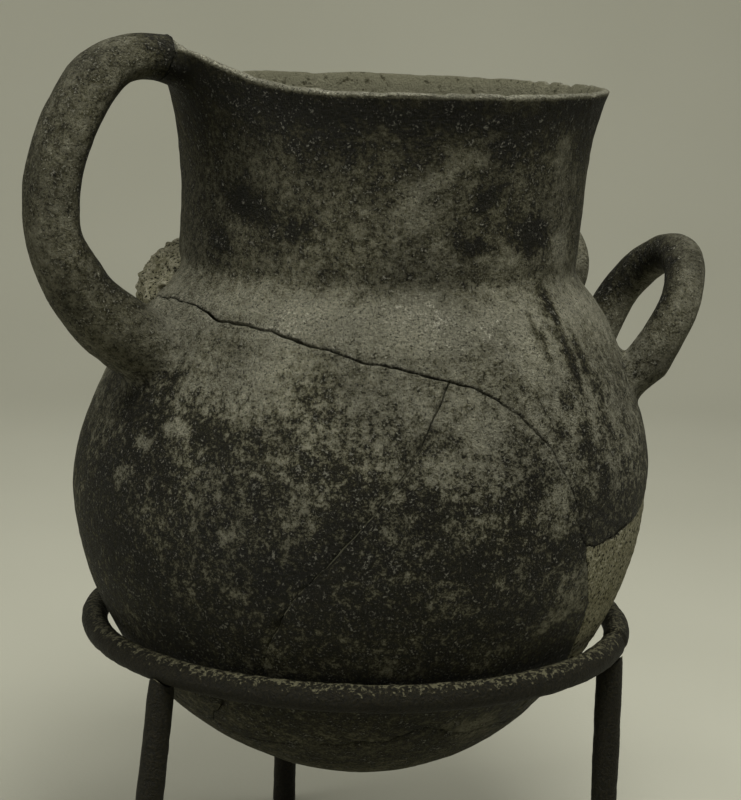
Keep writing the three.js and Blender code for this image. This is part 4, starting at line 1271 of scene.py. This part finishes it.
def areaSums(angle, level):
    # how much slip and lime the level and the listed areas give; the areas have uneven outlines
    height = heightAt(level)
    place = polar(radiusAt(height), angle, height)
    stray = [areaEdge["stray"] * roughness(place, areaEdge["size"], 3, seed) for seed in areaEdge["seeds"]]
    slip = eased(slipByLevel, level)
    lime = np.zeros(angle.shape)
    for centre, middleLevel, halfLength, halfWidth, turn, moreSlip, moreLime in finishAreas:
        right = np.radians(turnBetween(angle, centre)) * radiusAt(height) + stray[0]
        up = height - heightAt(middleLevel) + stray[1]
        tilt = math.radians(turn)
        along = (right * math.cos(tilt) + up * math.sin(tilt)) / halfLength
        across = (up * math.cos(tilt) - right * math.sin(tilt)) / halfWidth
        strength = np.exp(-(along**2 + across**2)**areaEdge["steepness"])
        slip = slip + moreSlip * strength
        lime = lime + moreLime * strength
    return slip, lime


def writeLayers(piece, **layers):
    for name, values in layers.items():
        layer = piece.data.attributes.new(name, "FLOAT", "POINT")
        layer.data.foreach_set("value", np.asarray(values, np.float32))


crackTree = nearnessTree(["mainCrack", "rightCrack"])
fineTree = nearnessTree(["branchCrack"])
# reaches and widths in mm, and how much of dirt, of painted shade deep in the cracks, of slip and of lime
crackLook = {
    "dirtReach": 0.6, "dirt": 0.9, "fineDirt": 0.8, "dirtFrom": 1.8, "dirtDeep": 2.6, "dirtWidth": 1.3,
    "paleReach": 3.2, "pale": 0.35, "finePale": 0.5, "finePaleReach": 1.1, "fineEnds": (6, -10),
}
lipLook = {"edge": (-1.5, 0.5), "slip": -0.5, "lime": 0.3, "insideDepth": (1.6, 4.5)}
handleLook = {
    "topLevel": 165, "paintedShadeSlip": 0.22, "paintedShadeFacing": (0.1, 0.9), "broken": 0.42, "wallDepth": (-24, -4),
    "dirtDepth": (1, 2),
}


def rimHeightAt(angle):
    # height of the lip's edge, which rises towards the big handle
    return jug["rimHeight"] + jug["rimRise"] * rimPulled(angle, 1.0)[0]


def finishWall(piece):
    # slip, lime, and dirt with painted shade deep in the cracks, on a part of the wall, worked out from
    # each point's place on it
    points = meshPoints(piece)
    angle, level, depth = wallPlace(points)
    slip, lime = areaSums(angle, level)
    height = heightAt(level)
    unbent = polar(radiusAt(height), angle, height)
    near = joinDistance(unbent)
    fine = joinDistance(unbent, fineTree) < near + 0.01
    faint = fine * smooth(*crackLook["fineEnds"], level)
    dirt = np.where(fine, crackLook["fineDirt"], crackLook["dirt"])
    dirt = np.exp(-(near / crackLook["dirtReach"])**2) * dirt * (1 - faint)
    # painted shade on the crack walls deeper in the wall, so that the cracks look dark
    within = smooth(crackLook["dirtFrom"], crackLook["dirtDeep"], depth) * (near < crackLook["dirtWidth"])
    lime = lime + crackLook["finePale"] * faint * np.exp(-(near / crackLook["finePaleReach"])**2)
    lime = lime + crackLook["pale"] * np.exp(-(joinDistance(unbent, crackTree) / crackLook["paleReach"])**2)
    lip = smooth(*lipLook["edge"], points[:, 2] - rimHeightAt(angle))
    writeLayers(piece, broken=eased(brokenByLevel, level), slip=slip + lipLook["slip"] * lip,
                lime=lime + lipLook["lime"] * lip, dirt=np.maximum(dirt, within),
                inside=smooth(*lipLook["insideDepth"], depth))


def finishHandle(piece, sizes):
    # a handle's own wear, which turns into the wall's at its feet; its side that faces the wall gets more
    # slip colour as painted shade, and its feet get painted shade where they sink into the wall
    points = meshPoints(piece)
    angle, level, depth = wallPlace(points)
    level = np.minimum(level, handleLook["topLevel"])
    wallSlip, wallLime = areaSums(angle, level)
    normals = np.empty(len(points) * 3, np.float32)
    piece.data.vertex_normals.foreach_get("vector", normals)
    towardsWall = -(normals.reshape(-1, 3) * polar(1.0, angle, 0)).sum(axis=1)
    onWallShare = smooth(*handleLook["wallDepth"], depth)
    # painted shade: more slip colour on the side that faces the wall
    slip = sizes["slip"] + handleLook["paintedShadeSlip"] * smooth(*handleLook["paintedShadeFacing"], towardsWall)
    broken = lerp(handleLook["broken"], eased(brokenByLevel, level), onWallShare)
    lime = lerp(sizes["lime"], wallLime, onWallShare)
    # painted shade in the crease where a foot sinks into the wall
    dirt = smooth(*handleLook["dirtDepth"], depth)
    writeLayers(piece, broken=broken, slip=lerp(slip, wallSlip, onWallShare), lime=lime, dirt=dirt,
                inside=np.zeros(len(points)))


# Building everything

slipMaterial = makeWornSlip()
plasterMaterial = makePlaster()
ironMaterial = makeIron()
print("materials made")

wall = makeWall()
print("wall:", len(wall.data.polygons), "faces")

wall, bigHandlePiece = addBigHandle(wall)
print("big handle joined and broken:", len(bigHandlePiece.data.polygons), "faces")
sherds = cutJoins(wall)
print("wall cut into", len(sherds), "parts")

for part in sherds:
    node, misfit = nodeFor(part)
    part.name = sherdNames[node]
    finishWall(part)
    material, slot = (plasterMaterial, "plaster") if node == "fill_patch" else (slipMaterial, "clay")
    dress(part, material, "jug", [node])
    print("  %s: %d faces, box within %.1f mm" % (part.name, len(part.data.polygons), misfit))

bigHandlePiece.name = "bigHandle"
finishHandle(bigHandlePiece, bigHandle)
dress(bigHandlePiece, slipMaterial, "jug", ["main_handle"])

for node, sizes in loops.items():
    loopPiece = loft(sizes["name"], loopRings(sizes))
    finishHandle(loopPiece, loopBar)
    dress(loopPiece, slipMaterial, "jug", [node])

mendPiece = makeMend()
writeLayers(mendPiece, dirt=np.zeros(len(mendPiece.data.vertices)))
dress(mendPiece, plasterMaterial, "jug", ["shoulder_mend"])
print("handles and mend made")

ringPiece = makeRing()
dress(ringPiece, ironMaterial, "stand", ["stand_ring"])
for node in legs:
    dress(makeLeg(node), ironMaterial, "stand", [node])
print("stand made")


# Floor, light and camera

view = {      # distances in mm from the middle of the ring, angles in degrees
    "focalPixels": 2173, "frameHeight": 800, "distance": 1192, "rise": 354.3,
    "azimuth": -32, "pitch": 10.863, "roll": 1.837, "asidePixels": 7.7,
}
viewRight = polar(1.0, view["azimuth"], 0)
viewAway = polar(1.0, view["azimuth"] + 90, 0)
studio = {
    "paper": "#aaa997", "paperShade": "#a5a492", "floorSize": 6000, "sweepStart": 1500, "sweepRadius": 900,
    "sweepSteps": 25, "wallHeight": 2500, "airColour": "#e9e7dc", "airStrength": 0.16,
    "patterns": {"mottle": (420, 2, 0.4), "fibre": (3, 3, 0.5)}, "tint": {"paper": 0.3, "paperShade": 0.7},
    "rough": 0.95, "heights": {"fibre": 1.0}, "bumpMm": 0.15,
}


def makeFloor():
    # seamless pale paper on the floor, swept up behind
    material, shader, noises = newMaterial("paleStudioPaper", studio["patterns"])
    colour = addNode(material, "ValToRGB", {"Fac": noises["mottle"]}, "Color", rampStops(studio, "tint"))
    connect(material, shader, colour, studio["rough"], noises, studio)
    section = [[-studio["floorSize"], 0], [studio["sweepStart"], 0]]
    for lift in np.linspace(0, math.pi / 2, studio["sweepSteps"])[1:]:
        section.append([studio["sweepStart"] + studio["sweepRadius"] * math.sin(lift),
                        studio["sweepRadius"] * (1 - math.cos(lift))])
    section.append([studio["sweepStart"] + studio["sweepRadius"], studio["wallHeight"]])
    rows = [[viewRight * aside + viewAway * out + np.array([0, 0, floorHeight + up]) for out, up in section]
            for aside in (-studio["floorSize"], studio["floorSize"])]
    count = len(section)
    faces = [[i, i + 1, count + i + 1, count + i] for i in range(count - 1)]
    floor = newMesh("studioFloor", np.vstack(rows), [np.array(faces)[:, ::-1]])
    floor.data.materials.append(material)
    floor.data.polygons.foreach_set("use_smooth", np.full(len(floor.data.polygons), True))


def makeCamera():
    pitch, roll = math.radians(view["pitch"]), math.radians(view["roll"])
    right, level = Vector(viewRight), Vector(viewAway)
    forward = level * math.cos(pitch) - Vector((0, 0, math.sin(pitch)))
    place = Vector(middle) + (Vector((0, 0, view["rise"])) - level * view["distance"]) * mm
    forward = (forward + right * view["asidePixels"] / view["focalPixels"]).normalized()
    up = right.cross(forward).normalized()
    right = forward.cross(up)
    rolledRight = right * math.cos(roll) + up * math.sin(roll)
    rolledUp = up * math.cos(roll) - right * math.sin(roll)
    data = bpy.data.cameras.new("camera")
    data.lens = view["focalPixels"] / view["frameHeight"] * data.sensor_width
    camera = bpy.data.objects.new("camera", data)
    scene.collection.objects.link(camera)
    facing = Matrix((rolledRight, rolledUp, -forward)).transposed()
    camera.matrix_world = Matrix.Translation(place) @ facing.to_4x4()
    scene.camera = camera


jugMiddle = [0, 120, 0]
lamps = {      # place and aim to the right, up and towards the camera, and size, in mm; power in watts
    "keyLight": {"place": [220, 1480, 720], "aim": jugMiddle, "size": [700, 600], "power": 27},
    "overheadSoftLight": {"place": [0, 1500, 100], "aim": jugMiddle, "size": [2200, 2000], "power": 12},
    "rightSoftLight": {"place": [1300, 900, -100], "aim": jugMiddle, "size": [500, 600], "power": 1.6},
    "leftFillLight": {"place": [-1500, 500, 500], "aim": jugMiddle, "size": [900, 1200], "power": 7},
    "backdropLight": {"place": [0, 1700, -900], "aim": [0, 0, -2100], "size": [2600, 700], "power": 12},
}


def makeLights():
    right, away = Vector(viewRight), Vector(viewAway)
    for name, lamp in lamps.items():
        data = bpy.data.lights.new(name, "AREA")
        data.shape = "RECTANGLE"
        data.size, data.size_y = lamp["size"][0] * mm, lamp["size"][1] * mm
        data.energy = lamp["power"]
        light = bpy.data.objects.new(name, data)
        scene.collection.objects.link(light)
        place, target = [Vector(middle) + (right * aside + Vector((0, 0, up)) - away * near) * mm
                         for aside, up, near in (lamp["place"], lamp["aim"])]
        light.location = place
        light.rotation_euler = (target - place).to_track_quat("-Z", "Y").to_euler()
    world = bpy.data.worlds.new("studioAir")
    world.use_nodes = True
    air = world.node_tree.nodes["Background"]
    air.inputs["Color"].default_value = linear(studio["airColour"])
    air.inputs["Strength"].default_value = studio["airStrength"]
    scene.world = world


makeFloor()
makeCamera()
makeLights()
scene.view_settings.view_transform = "Standard"
print("studio made")
